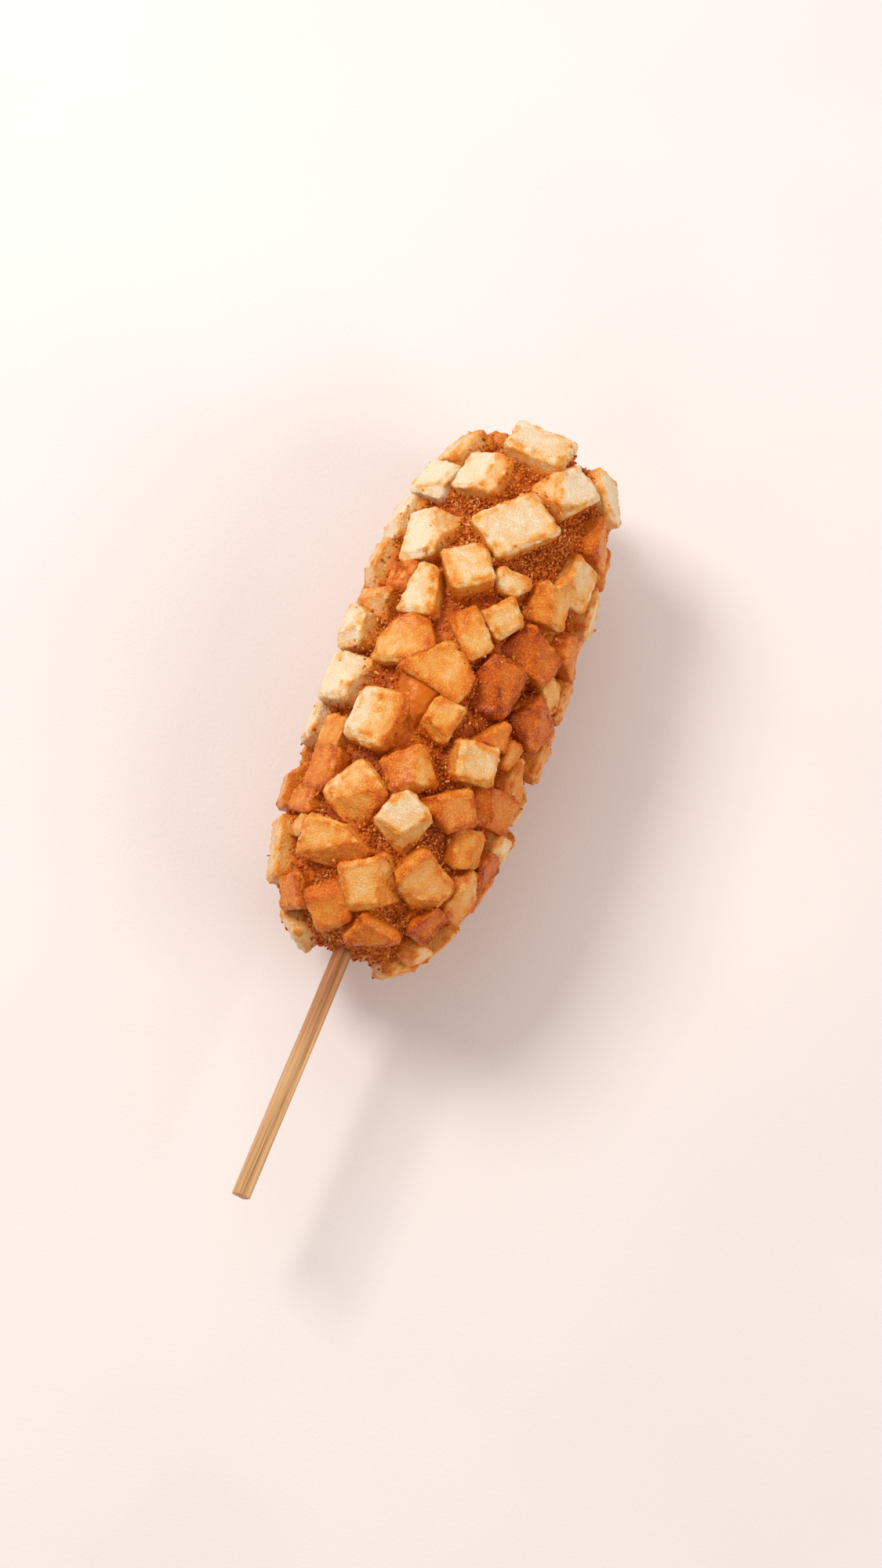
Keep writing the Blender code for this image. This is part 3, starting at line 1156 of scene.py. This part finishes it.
        # partly painted light and shade: each facet's face is darkened by its brown, lightened
        # where that is negative
        for facet in self.fry.facets:
            point, normal = self._plane(facet)
            near = bell(np.abs((points - point) @ normal), how.facet_reach)
            toast += facet.brown * near * smooth(0.6, 0.9, normals @ normal)
        if self.fry.hollow:
            toast += how.hollow * self._in_hollow(points)
        toast += how.speck * (smooth(0.20, 0.8, fine) - 0.25) * bell(edge, how.speck_reach)
        toast += how.edge * bell(edge, how.edge_reach)
        toast += how.corner * coarse * bell(corner, how.corner_reach)
        toast += how.side * smooth(how.side_from, how.side_to, depth) + how.start
        toast += how.patch * (coarse - 0.5) + how.mottle * (fine - 0.5)
        toast -= how.slowing * np.maximum(toast - how.limit, 0)
        self.piece.mark("toast", toast)
        belt = smooth(*how.belt_top, depth) * (1 - smooth(*how.belt_foot, depth))
        belt *= smooth(0.35, 0.7, fine)
        stray = bell(edge, how.stray_reach) * fine
        self.piece.mark("crumb", how.belt * belt + how.stray * stray)


@dataclass(frozen=True)
class Spot:
    """A round place on the batter: station, bearing, reach in millimetres, and weight."""

    station: float
    bearing: float
    reach: float
    weight: float = 1.0


# Where the crumbs lie thick.
CRUMB_BEDS = (
    Spot(111, -25, 9, 1.6),
    Spot(104, -24, 8, 1.6),
    Spot(95, 8, 7, 1.2),
    Spot(102, 22, 7, 1.6),
    Spot(110, 36, 7, 1.6),
    Spot(117, 50, 8, 1.6),
    Spot(127, 45, 8, 1.6),
    Spot(76, -48, 7, 1.4),
    Spot(73, 12, 6, 1.2),
    Spot(56, 14, 6, 1.2),
    Spot(26, -18, 8, 1.5),
    Spot(23, 15, 8, 1.5),
    Spot(6, 32, 8, 1.8),
    Spot(1, -15, 7, 1.6),
)


@dataclass(frozen=True)
class Swelling:
    """A smooth swelling of bare batter between the dice.

    Station, radius and half sizes are in millimetres. The sizes are along the dog, round it
    and outwards.
    """

    station: float
    bearing: float
    radius: float
    sizes: tuple[float, float, float]

    @property
    def spot(self) -> Spot:
        """The place that it takes up."""
        return Spot(self.station, self.bearing, self.sizes[0])

    def build(self, form: DogForm) -> Workpiece:
        """Draw a ball out along the dog and turn it to its bearing.

        Args:
            form: The dog's form.

        Returns:
            The swelling, before it is melted into the crust.
        """
        piece = Workpiece.ball(32, 16)
        turn = Matrix.Rotation(math.radians(self.bearing), 3, "Y")
        along, round_it, out = self.sizes
        shaped = piece.points * (np.array([round_it, along, out]) * MM)
        centre = form.place(self.station * MM, self.bearing, self.radius * MM)
        piece.points = shaped @ np.array(turn).T + centre
        return piece


SWELLINGS = (
    Swelling(60, -13, 22.5, (8.5, 6.0, 5.5)),
    Swelling(86, -52, 21.5, (6.5, 5.0, 4.0)),
    Swelling(41, 38, 21.5, (6.0, 5.5, 4.0)),
)


@dataclass
class BatterCrust:
    """The batter between the dice: it climbs their sides and holds the crumbs.

    Lumps and grit each have a width and a height. Where the crust stands above the plain
    batter by the climb it is thick with crumbs, below the hollow it is darker, which is
    painted shade in the gaps between the dice, and by the dog's ends crumbs grow thick from
    one distance to another.
    """

    form: DogForm
    haze: Haze
    voxel: float = 0.6 * MM
    swell: float = 1.0 * MM
    lumps: tuple[float, float] = (8.0 * MM, 2.2 * MM)
    grit: tuple[float, float] = (1.6 * MM, 0.9 * MM)
    broad_size: float = 7.0 * MM
    fine_size: float = 2.5 * MM
    climb: tuple[float, float] = (1.0 * MM, 3.0 * MM)
    hollow: tuple[float, float] = (0.5 * MM, 3.5 * MM)
    end_reach: tuple[float, float] = (9.0 * MM, 2.0 * MM)
    spot_height: float = 2 * MM
    most_crumbs: float = 5.0

    def _core(self) -> Workpiece:
        """The batter's own body, from a ball drawn out to its full shape.

        Returns:
            The body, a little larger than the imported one.
        """
        piece = Workpiece.ball(72, 56)
        unit = piece.points
        power = 2 / self.form.fullness
        flat = np.hypot(unit[:, 0], unit[:, 1])
        half = self.form.half_length + self.swell
        middle = (self.form.batter_end + self.form.batter_start) / 2
        station = middle + half * np.sign(unit[:, 2]) * np.abs(unit[:, 2]) ** power
        radius = (self.form.batter_radius + self.swell) * flat**power
        angle = np.arctan2(unit[:, 1], unit[:, 0])
        places = np.stack([radius * np.sin(angle), station, radius * np.cos(angle)], axis=1)
        piece.points = self.form.world(places)
        with piece.edit_mode():
            bpy.ops.mesh.normals_make_consistent(inside=False)
        return piece

    def build(self, skirts: list[Workpiece], dice: list[PotatoDie]) -> Workpiece:
        """Melt the body, the swellings and the skirts into one crust.

        Args:
            skirts: The low copies of the dice that the batter wraps.
            dice: The dice, which hide the crust under them.

        Returns:
            The finished crust, marked for its material and for the crumbs.
        """
        swellings = [swelling.build(self.form) for swelling in SWELLINGS]
        crust = self._core()
        crust.pick()
        for part in [*skirts, *swellings]:
            part.thing.select_set(True)
        bpy.ops.object.join()
        crust.thing.name = crust.thing.data.name = "batter_crust"
        crust.reskin(self.voxel, 0.5, 9)
        crust.roughen(*self.lumps, 1)
        crust.roughen(*self.grit, 2)
        crust.stand()
        crust.shade()
        self._mark(crust, dice)
        return crust

    def _near(self, points: np.ndarray, spots: Iterable[Spot]) -> np.ndarray:
        """How strongly spots mark each point.

        Args:
            points: Places in the scene, one to a row.
            spots: The spots.

        Returns:
            The strongest mark at each point, which is the spot's weight at its middle.
        """
        total = np.zeros(len(points))
        for spot in spots:
            radius = self.form.batter_radius + self.spot_height
            centre = self.form.place(spot.station * MM, spot.bearing, radius)
            away = np.linalg.norm(points - centre, axis=1)
            total = np.maximum(total, spot.weight * bell(away, spot.reach * MM))
        return total

    def _mark(self, crust: Workpiece, dice: list[PotatoDie]) -> None:
        """Mark toast, the browning with painted shade where the crust lies low between the dice,
        crumb, how thick the crumbs lie, and bare.

        Args:
            crust: The crust.
            dice: The dice; no crumbs lie under them.
        """
        points = crust.points
        places = self.form.local(points)
        height = np.hypot(places[:, 0], places[:, 2]) - self.form.girth(places[:, 1])
        broad = self.haze.at(points, self.broad_size)
        fine = self.haze.at(points + 0.3, self.fine_size)
        bare = self._near(points, (swelling.spot for swelling in SWELLINGS))
        climbing = smooth(*self.climb, height)
        thick = 0.45 + 0.8 * smooth(0.45, 0.65, broad) * fine + 0.5 * climbing * fine
        thick += 2 * self._near(points, CRUMB_BEDS)
        thick += smooth(*self.end_reach, self.form.end_gap(places))
        thick *= 1 - 0.9 * smooth(0.35, 0.75, bare)
        for die in dice:
            thick[die.covers(points)] = 0
        crust.mark("crumb", np.clip(thick, 0, self.most_crumbs))
        # painted shade: the crust is darker where it lies low in the gaps between the dice
        low = 1 - smooth(*self.hollow, height)
        crust.mark("toast", 0.24 + 0.30 * low + 0.50 * (broad - 0.5) + 0.30 * (fine - 0.5))
        crust.mark("bare", bare)


class Grain(Enum):
    """A kind of crumb: name, count, least and most length in millimetres, shape, colours."""

    GOLDEN = (
        "crumbs_golden", 9500, 0.60, 1.25, (1.0, 0.75, 0.60),
        ((0.0, (0.86, 0.46, 0.17)), (0.35, (0.74, 0.25, 0.042)), (1.0, (0.60, 0.135, 0.012))),
    )
    BROWN = (
        "crumbs_brown", 9500, 0.60, 1.25, (1.0, 0.75, 0.60),
        ((0.0, (0.64, 0.160, 0.016)), (0.6, (0.50, 0.098, 0.007)), (1.0, (0.28, 0.038, 0.003))),
    )
    RUST = (
        "crumbs_rusty", 9500, 0.55, 1.10, (1.0, 0.80, 0.65),
        ((0.0, (0.78, 0.31, 0.06)), (0.5, (0.66, 0.18, 0.018)), (1.0, (0.50, 0.095, 0.006))),
    )
    FINE = (
        "crumbs_fine", 9500, 0.40, 0.75, (1.0, 0.85, 0.70),
        ((0.0, (0.80, 0.34, 0.080)), (0.5, (0.64, 0.17, 0.018)), (1.0, (0.44, 0.078, 0.006))),
    )
    SHARD = (
        "crumbs_shards", 1800, 1.0, 2.2, (1.0, 0.50, 0.30),
        ((0.0, (0.84, 0.40, 0.12)), (0.5, (0.64, 0.18, 0.020)), (1.0, (0.38, 0.068, 0.006))),
    )

    def __init__(
        self,
        title: str,
        count: int,
        least: float,
        most: float,
        shape: tuple[float, float, float],
        stops: Stops,
    ) -> None:
        """Name the facts of the kind.

        Args:
            title: Its name, for its piece and its finish.
            count: How many crumbs are laid.
            least: The shortest crumb's length in millimetres.
            most: The longest one's.
            shape: Share of the length that a crumb has in each direction.
            stops: Its colours.
        """
        self.title = title
        self.count = count
        self.least = least * MM
        self.most = most * MM
        self.shape = np.array(shape)
        self.finish = CrumbFinish(title, stops)


@dataclass
class Crumbs:
    """Loose bread crumbs stuck all over the crust and the lower sides of the dice.

    Knobs are how far in and out a crumb's corners stand, varieties how many shapes a kind
    has, and lift how high a crumb's middle lies as a share of its length.
    """

    seed: int = 5
    knobs: tuple[float, float] = (0.55, 1.35)
    varieties: int = 8
    lift: tuple[float, float] = (0.1, 0.4)
    corners: np.ndarray = field(init=False)
    normals: np.ndarray = field(init=False)
    shares: np.ndarray = field(init=False)

    def gather(self, surfaces: list[Workpiece]) -> None:
        """Read where crumbs can lie: every triangle, with its area and crumb mark.

        Args:
            surfaces: The marked pieces.
        """
        corners, marks = [], []
        for surface in surfaces:
            mesh = surface.thing.data
            mesh.calc_loop_triangles()
            triples = np.empty(len(mesh.loop_triangles) * 3, np.int32)
            mesh.loop_triangles.foreach_get("vertices", triples)
            triples = triples.reshape(-1, 3)
            corners.append(surface.points[triples])
            marks.append(surface.marked("crumb")[triples].mean(axis=1))
        self.corners = np.concatenate(corners)
        first, second, third = self.corners.swapaxes(0, 1)
        cross = np.cross(second - first, third - first)
        double_area = np.linalg.norm(cross, axis=1)
        self.normals = cross / np.maximum(double_area, 1e-15)[:, None]
        weights = np.concatenate(marks) * double_area
        self.shares = weights / weights.sum()

    def _granule(self, chance: np.random.Generator) -> tuple[np.ndarray, np.ndarray]:
        """Model one knobbly crumb.

        Args:
            chance: Where its knobs come from.

        Returns:
            Its corners, about 1 across, and its triangles.
        """
        bpy.ops.object.select_all(action="DESELECT")
        bpy.ops.mesh.primitive_ico_sphere_add(subdivisions=1, radius=0.5)
        piece = Workpiece(bpy.context.object)
        points = piece.points * chance.uniform(*self.knobs, (len(piece.points), 1))
        faces = np.array([face.vertices[:] for face in piece.thing.data.polygons])
        bpy.data.objects.remove(piece.thing)
        return points, faces

    def sprinkle(self, kind: Grain) -> Workpiece:
        """Lay crumbs of one kind, thick where the marks are high.

        Args:
            kind: The kind.

        Returns:
            All of them as one piece.
        """
        count = kind.count
        chance = np.random.default_rng(self.seed + len(kind.title))
        chosen = chance.choice(len(self.shares), count, p=self.shares)
        spread = np.sort(chance.random((count, 2)), axis=1)
        weights = np.stack([spread[:, 0], spread[:, 1] - spread[:, 0], 1 - spread[:, 1]], axis=1)
        places = np.einsum("ij,ijk->ik", weights, self.corners[chosen])
        sizes = kind.least + (kind.most - kind.least) * chance.random(count) ** 2
        places += self.normals[chosen] * (sizes * chance.uniform(*self.lift, count))[:, None]
        turns, _ = np.linalg.qr(chance.normal(size=(count, 3, 3)))
        shapes = [self._granule(chance) for _ in range(self.varieties)]
        pick = chance.integers(len(shapes), size=count)
        bodies = np.stack([points for points, _ in shapes])[pick] * kind.shape
        bodies = np.einsum("nij,nkj->nki", turns, bodies * sizes[:, None, None])
        bodies += places[:, None, :]
        bodies[..., 2] = np.maximum(bodies[..., 2], 0.0)
        faces = np.stack([faces for _, faces in shapes])[pick]
        faces += (np.arange(count) * bodies.shape[1])[:, None, None]
        mirrored = np.linalg.det(turns) < 0
        faces[mirrored] = faces[mirrored][..., ::-1]
        mesh = bpy.data.meshes.new(kind.title)
        mesh.from_pydata(bodies.reshape(-1, 3).tolist(), [], faces.reshape(-1, 3).tolist())
        piece = Workpiece.of_mesh(kind.title, mesh)
        piece.mark("toast", np.repeat(chance.random(count), bodies.shape[1]))
        piece.shade(soft=False)
        return piece


@dataclass
class JoinedDice:
    """The dice that the batter's solid carries, taken off it one by one.

    A face is the batter's own skin where it lies on the batter's form, within the skin
    depth, and faces outwards by the facing.
    """

    form: DogForm
    skin_depth: float = 0.7 * MM
    facing: float = 0.6
    root: float = 2.0 * MM
    least_radius: float = 12 * MM
    least_area: float = 60 * MM**2

    def split(self, body: bpy.types.Object) -> list[Workpiece]:
        """Cut the dice from the batter's solid.

        Args:
            body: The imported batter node.

        Returns:
            Each die as a closed piece.
        """
        bulk = Workpiece.of_mesh("bulk", body.data.copy())
        with bulk.edit_mode():
            bpy.ops.mesh.remove_doubles(threshold=WELD)
            bpy.ops.mesh.select_all(action="DESELECT")
        self._select_skin(bulk)
        with bulk.edit_mode(whole=False):
            bpy.ops.mesh.delete(type="FACE")
            bpy.ops.mesh.select_all(action="SELECT")
            bpy.ops.mesh.dissolve_limited(angle_limit=FLAT)
            bpy.ops.mesh.select_all(action="SELECT")
            bpy.ops.mesh.separate(type="LOOSE")
        kept = []
        for piece in [Workpiece(thing) for thing in bpy.context.selected_objects]:
            if self._is_die(piece):
                kept.append(piece)
            else:
                bpy.data.objects.remove(piece.thing)
        for piece in kept:
            self._close(piece)
        return kept

    def _select_skin(self, bulk: Workpiece) -> None:
        """Select the faces that lie on the batter's own surface.

        Args:
            bulk: The batter's solid with its dice.
        """
        middles, normals, _ = bulk.faces()
        places = self.form.local(middles)
        radius = np.hypot(places[:, 0], places[:, 2])
        on_side = np.abs(radius - self.form.girth(places[:, 1])) < self.skin_depth
        on_end = self.form.end_gap(places) < self.skin_depth
        facing = np.einsum("ij,ij->i", normals, self.form.outward(middles))
        skin = (on_side | on_end) & (facing > self.facing)
        bulk.thing.data.polygons.foreach_set("select", skin)

    def _is_die(self, piece: Workpiece) -> bool:
        """Tell a die from the stick's socket and from slivers.

        Args:
            piece: A loose part.

        Returns:
            Whether it is a die.
        """
        places = self.form.local(piece.points)
        radius = np.hypot(places[:, 0], places[:, 2]).max()
        area = sum(face.area for face in piece.thing.data.polygons)
        return radius > self.least_radius and area > self.least_area

    def _close(self, piece: Workpiece) -> None:
        """Draw the open base down into the batter and fill it.

        Args:
            piece: The die, open where it met the batter.
        """
        inward = -self.form.outward(piece.points).mean(axis=0) * self.root
        with piece.edit_mode():
            bpy.ops.mesh.select_all(action="DESELECT")
            bpy.ops.mesh.select_mode(type="EDGE")
            bpy.ops.mesh.select_non_manifold()
            bpy.ops.mesh.extrude_edges_move(TRANSFORM_OT_translate={"value": inward.tolist()})
            bpy.ops.mesh.edge_face_add()
            bpy.ops.mesh.select_all(action="SELECT")
            bpy.ops.mesh.normals_make_consistent(inside=False)


@dataclass
class BambooStick:
    """The square bamboo stick, with raised fibres and a sawn end.

    Fibres and strands each have a size across, along and across, and a height.
    """

    form: DogForm
    haze: Haze
    sunk: float = 9 * MM
    voxel: float = 0.24 * MM
    fibre_size: tuple[float, float, float] = (0.35 * MM, 14 * MM, 0.35 * MM)
    fibre_height: float = 0.10 * MM
    strand_size: tuple[float, float, float] = (1.1 * MM, 40 * MM, 1.1 * MM)
    strand_height: float = 0.16 * MM
    oil_from: float = -34 * MM
    oil_to: float = -2 * MM

    def build(self, node: bpy.types.Object) -> Workpiece:
        """Model the stick as far as it shows and a little into the batter.

        Args:
            node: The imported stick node.

        Returns:
            The finished stick.
        """
        piece = Workpiece.copy_of(node, "bamboo_stick")
        piece.cut(self.form.origin + Vector((0, self.sunk, 0)), (0, 1, 0))
        piece.reskin(self.voxel, 0.5, 2)
        points = piece.points
        fibres = self.haze.at(points, self.fibre_size)
        strands = self.haze.at(points + 0.2, self.strand_size)
        piece.push(self.fibre_height * (fibres - 0.5) + self.strand_height * (strands - 0.5))
        piece.shade()
        exit_at = self.form.origin.y
        finish = BambooFinish(exit_at + self.oil_from, exit_at + self.oil_to)
        piece.dress(finish.make(), "bamboo", "stick")
        return piece


@dataclass(frozen=True)
class Lamp:
    """A soft square light, aimed at the food.

    Its direction is seen from the camera: right, up and towards the camera.
    """

    name: str
    direction: tuple[float, float, float]
    distance: float
    width: float
    power: float
    colour: Colour


LAMPS = (
    Lamp("key", (-0.50, 0.62, 0.66), 1.1, 0.38, 8.7, (1.0, 0.96, 0.93)),
    Lamp("fill", (0.80, -0.20, 0.56), 1.8, 1.2, 13.2, (1.0, 0.92, 0.86)),
    Lamp("top", (0.0, 0.85, 0.52), 1.2, 0.8, 2.4, (1.0, 0.96, 0.95)),
)


@dataclass
class Studio:
    """Camera, lights and floor. The camera looks down on the food as it lies.

    The view is set by how the stick's free end stands in it: to the right of the middle,
    above it and away from the camera, all in metres. Roll and slant are in degrees.
    """

    form: DogForm
    stick_shown: float
    lens: float = 112.0
    roll: float = 22.7
    slant: float = 74.3
    stick_end: tuple[float, float, float] = (-0.0465, -0.0956, 1.130)
    room_colour: Colour = (1.0, 0.91, 0.87)
    room_light: float = 0.45
    floor_width: float = 6.0
    floor_gap: float = 0.05 * MM

    def _view(self) -> Matrix:
        """Work out how the camera is turned.

        Returns:
            Its right, up and backward directions as the columns of a matrix.
        """
        roll, slant = math.radians(self.roll), math.radians(self.slant)
        right = Vector(
            (math.cos(roll), math.sin(slant) * math.sin(roll), math.cos(slant) * math.sin(roll))
        )
        back = Vector((0, -math.cos(slant), math.sin(slant)))
        return Matrix((right, back.cross(right), back)).transposed()

    def build(self) -> None:
        """Set up everything."""
        view = self._view()
        self._place_camera(view)
        target = self.form.origin + Vector((0, self.form.batter_end / 2, 0))
        for lamp in LAMPS:
            self._hang(lamp, view, target)
        self._lay_floor()
        self._light_room()
        bpy.context.scene.view_settings.view_transform = "Standard"

    def _place_camera(self, view: Matrix) -> None:
        """Put the camera where the stick's free end stands right in its view.

        Args:
            view: How the camera is turned.
        """
        right, up, away = self.stick_end
        stick_end = self.form.origin - Vector((0, self.stick_shown, 0))
        camera = bpy.data.objects.new("camera", bpy.data.cameras.new("camera"))
        camera.data.lens = self.lens
        standpoint = stick_end - view @ Vector((right, up, -away))
        camera.matrix_world = Matrix.Translation(standpoint) @ view.to_4x4()
        bpy.context.scene.collection.objects.link(camera)
        bpy.context.scene.camera = camera

    def _hang(self, lamp: Lamp, view: Matrix, target: Vector) -> None:
        """Hang one light and aim it.

        Args:
            lamp: The light.
            view: How the camera is turned.
            target: What the light is aimed at.
        """
        data = bpy.data.lights.new(lamp.name, "AREA")
        data.size = lamp.width
        data.energy = lamp.power
        data.color = lamp.colour
        direction = (view @ Vector(lamp.direction)).normalized()
        light = bpy.data.objects.new(lamp.name, data)
        light.location = target + direction * lamp.distance
        light.rotation_mode = "QUATERNION"
        light.rotation_quaternion = direction.to_track_quat("Z", "Y")
        bpy.context.scene.collection.objects.link(light)

    def _lay_floor(self) -> None:
        """Lay the floor just under the food."""
        bpy.ops.object.select_all(action="DESELECT")
        bpy.ops.mesh.primitive_plane_add(size=self.floor_width, location=(0, 0, -self.floor_gap))
        floor = bpy.context.object
        floor.name = "floor"
        floor.data.materials.append(FloorFinish().make())

    def _light_room(self) -> None:
        """Fill the room with faint, warm light."""
        room = bpy.data.worlds.new("room")
        room.use_nodes = True
        background = room.node_tree.nodes["Background"]
        background.inputs["Color"].default_value = (*self.room_colour, 1.0)
        background.inputs["Strength"].default_value = self.room_light
        bpy.context.scene.world = room


@dataclass
class CornDog:
    """The whole corn dog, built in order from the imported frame.

    The dice that are joined with the batter are fried by chance: a top's shade, how much
    browner its sides are, and one facet by its start, its slope and its browning. Up to
    the shades pale_to and gold_to a die takes the pale and the gold finish.
    """

    frame: dict
    stick_shown: float = 61.6 * MM
    seed: int = 21
    joined_voxel: float = 0.55 * MM
    joined_top: tuple[float, float] = (0.12, 0.55)
    joined_side: tuple[float, float] = (0.05, 0.20)
    joined_start: tuple[float, float] = (1, 4)
    joined_slope: tuple[float, float] = (25, 48)
    joined_brown: float = 0.12
    pale_to: float = 0.3
    gold_to: float = 0.5
    skirt_climb: tuple[float, float] = (3.2, 5.5)
    skirt_spread: tuple[float, float] = (0.4, 1.0)

    def __post_init__(self) -> None:
        """Find the dog's own frame from the stick, and start the noise."""
        low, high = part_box("stick")
        middle = (low + high) / 2
        self.form = DogForm(Vector((middle.x, low.y + self.stick_shown, middle.z)))
        self.haze = Haze(self.seed)
        self.slots = {row["node"]: row["material_slot"] for row in self.frame["record"]["subparts"]}

    def _shown_dice(self) -> Iterator[PotatoDie]:
        """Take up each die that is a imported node.

        Yields:
            The dice, still plain.
        """
        for group, fries in FRYING.items():
            for number, fry in enumerate(fries, 1):
                node = f"potato_{group}_{number:02d}"
                piece = Workpiece.copy_of(self.frame["nodes"][node], f"fried_{group}_{number:02d}")
                # the stretch's extra is partly painted shade, darker towards the heel
                fry = replace(
                    fry, top=fry.top + EXTRA_FRYING_AND_SHADE[group], side=fry.side + EXTRA_SIDE_FRYING
                )
                yield PotatoDie(piece, fry, self.form, self.haze, self.slots[node], (node,))

    def _joined_dice(self) -> Iterator[PotatoDie]:
        """Take up each die that is one solid with the batter.

        Yields:
            The dice, still plain.
        """
        chance = np.random.default_rng(self.seed)
        pieces = JoinedDice(self.form).split(self.frame["nodes"]["batter_body"])
        LOG.info("dice joined with the batter: %d", len(pieces))
        for number, piece in enumerate(pieces, 1):
            piece.thing.name = f"fried_under_{number:02d}"
            fry = self._chance_fry(chance)
            yield PotatoDie(
                piece, fry, self.form, self.haze, self._slot_for(fry), voxel=self.joined_voxel
            )

    def _chance_fry(self, chance: np.random.Generator) -> Fry:
        """Fry a die by chance.

        Args:
            chance: Where the numbers come from.

        Returns:
            How far it is fried.
        """
        top = chance.uniform(*self.joined_top)
        heading, start = chance.uniform(-180, 180), chance.uniform(*self.joined_start)
        facet = Facet(heading, start, chance.uniform(*self.joined_slope), self.joined_brown)
        return Fry(top, top + chance.uniform(*self.joined_side), facets=(facet,))

    def _slot_for(self, fry: Fry) -> str:
        """The material slot that fits how far a die is fried."""
        pale_or_gold = "potato_pale" if fry.top < self.pale_to else "potato_gold"
        return pale_or_gold if fry.top < self.gold_to else "potato_brown"

    def build(self) -> None:
        """Build, dress and report every piece."""
        potato = {
            name: PotatoFinish(name, roughness, oil).make()
            for name, roughness, oil in (
                ("potato_pale", 0.38, 0.10),
                ("potato_gold", 0.36, 0.13),
                ("potato_brown", 0.38, 0.12),
            )
        }
        chance = np.random.default_rng(self.seed + 1)
        dice = [*self._shown_dice(), *self._joined_dice()]
        skirts = [
            die.skirt(
                chance.uniform(*self.skirt_climb) * MM, chance.uniform(*self.skirt_spread) * MM
            )
            for die in dice
        ]
        crust = BatterCrust(self.form, self.haze).build(skirts, dice)
        for die in dice:
            die.work_up()
            die.piece.dress(potato[die.slot], die.slot, *die.nodes)
        crumbs = Crumbs()
        crumbs.gather([crust, *(die.piece for die in dice)])
        crust.dress(BatterFinish().make(), "batter", "batter_body")
        for kind in Grain:
            crumbs.sprinkle(kind).dress(kind.finish.make(), "batter")
        BambooStick(self.form, self.haze).build(self.frame["nodes"]["stick"])


def main() -> None:
    """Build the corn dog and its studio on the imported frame."""
    logging.basicConfig(level=logging.INFO, format="%(message)s")
    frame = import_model()
    dog = CornDog(frame)
    dog.build()
    Studio(dog.form, dog.stick_shown).build()


if __name__ == "__main__":
    main()
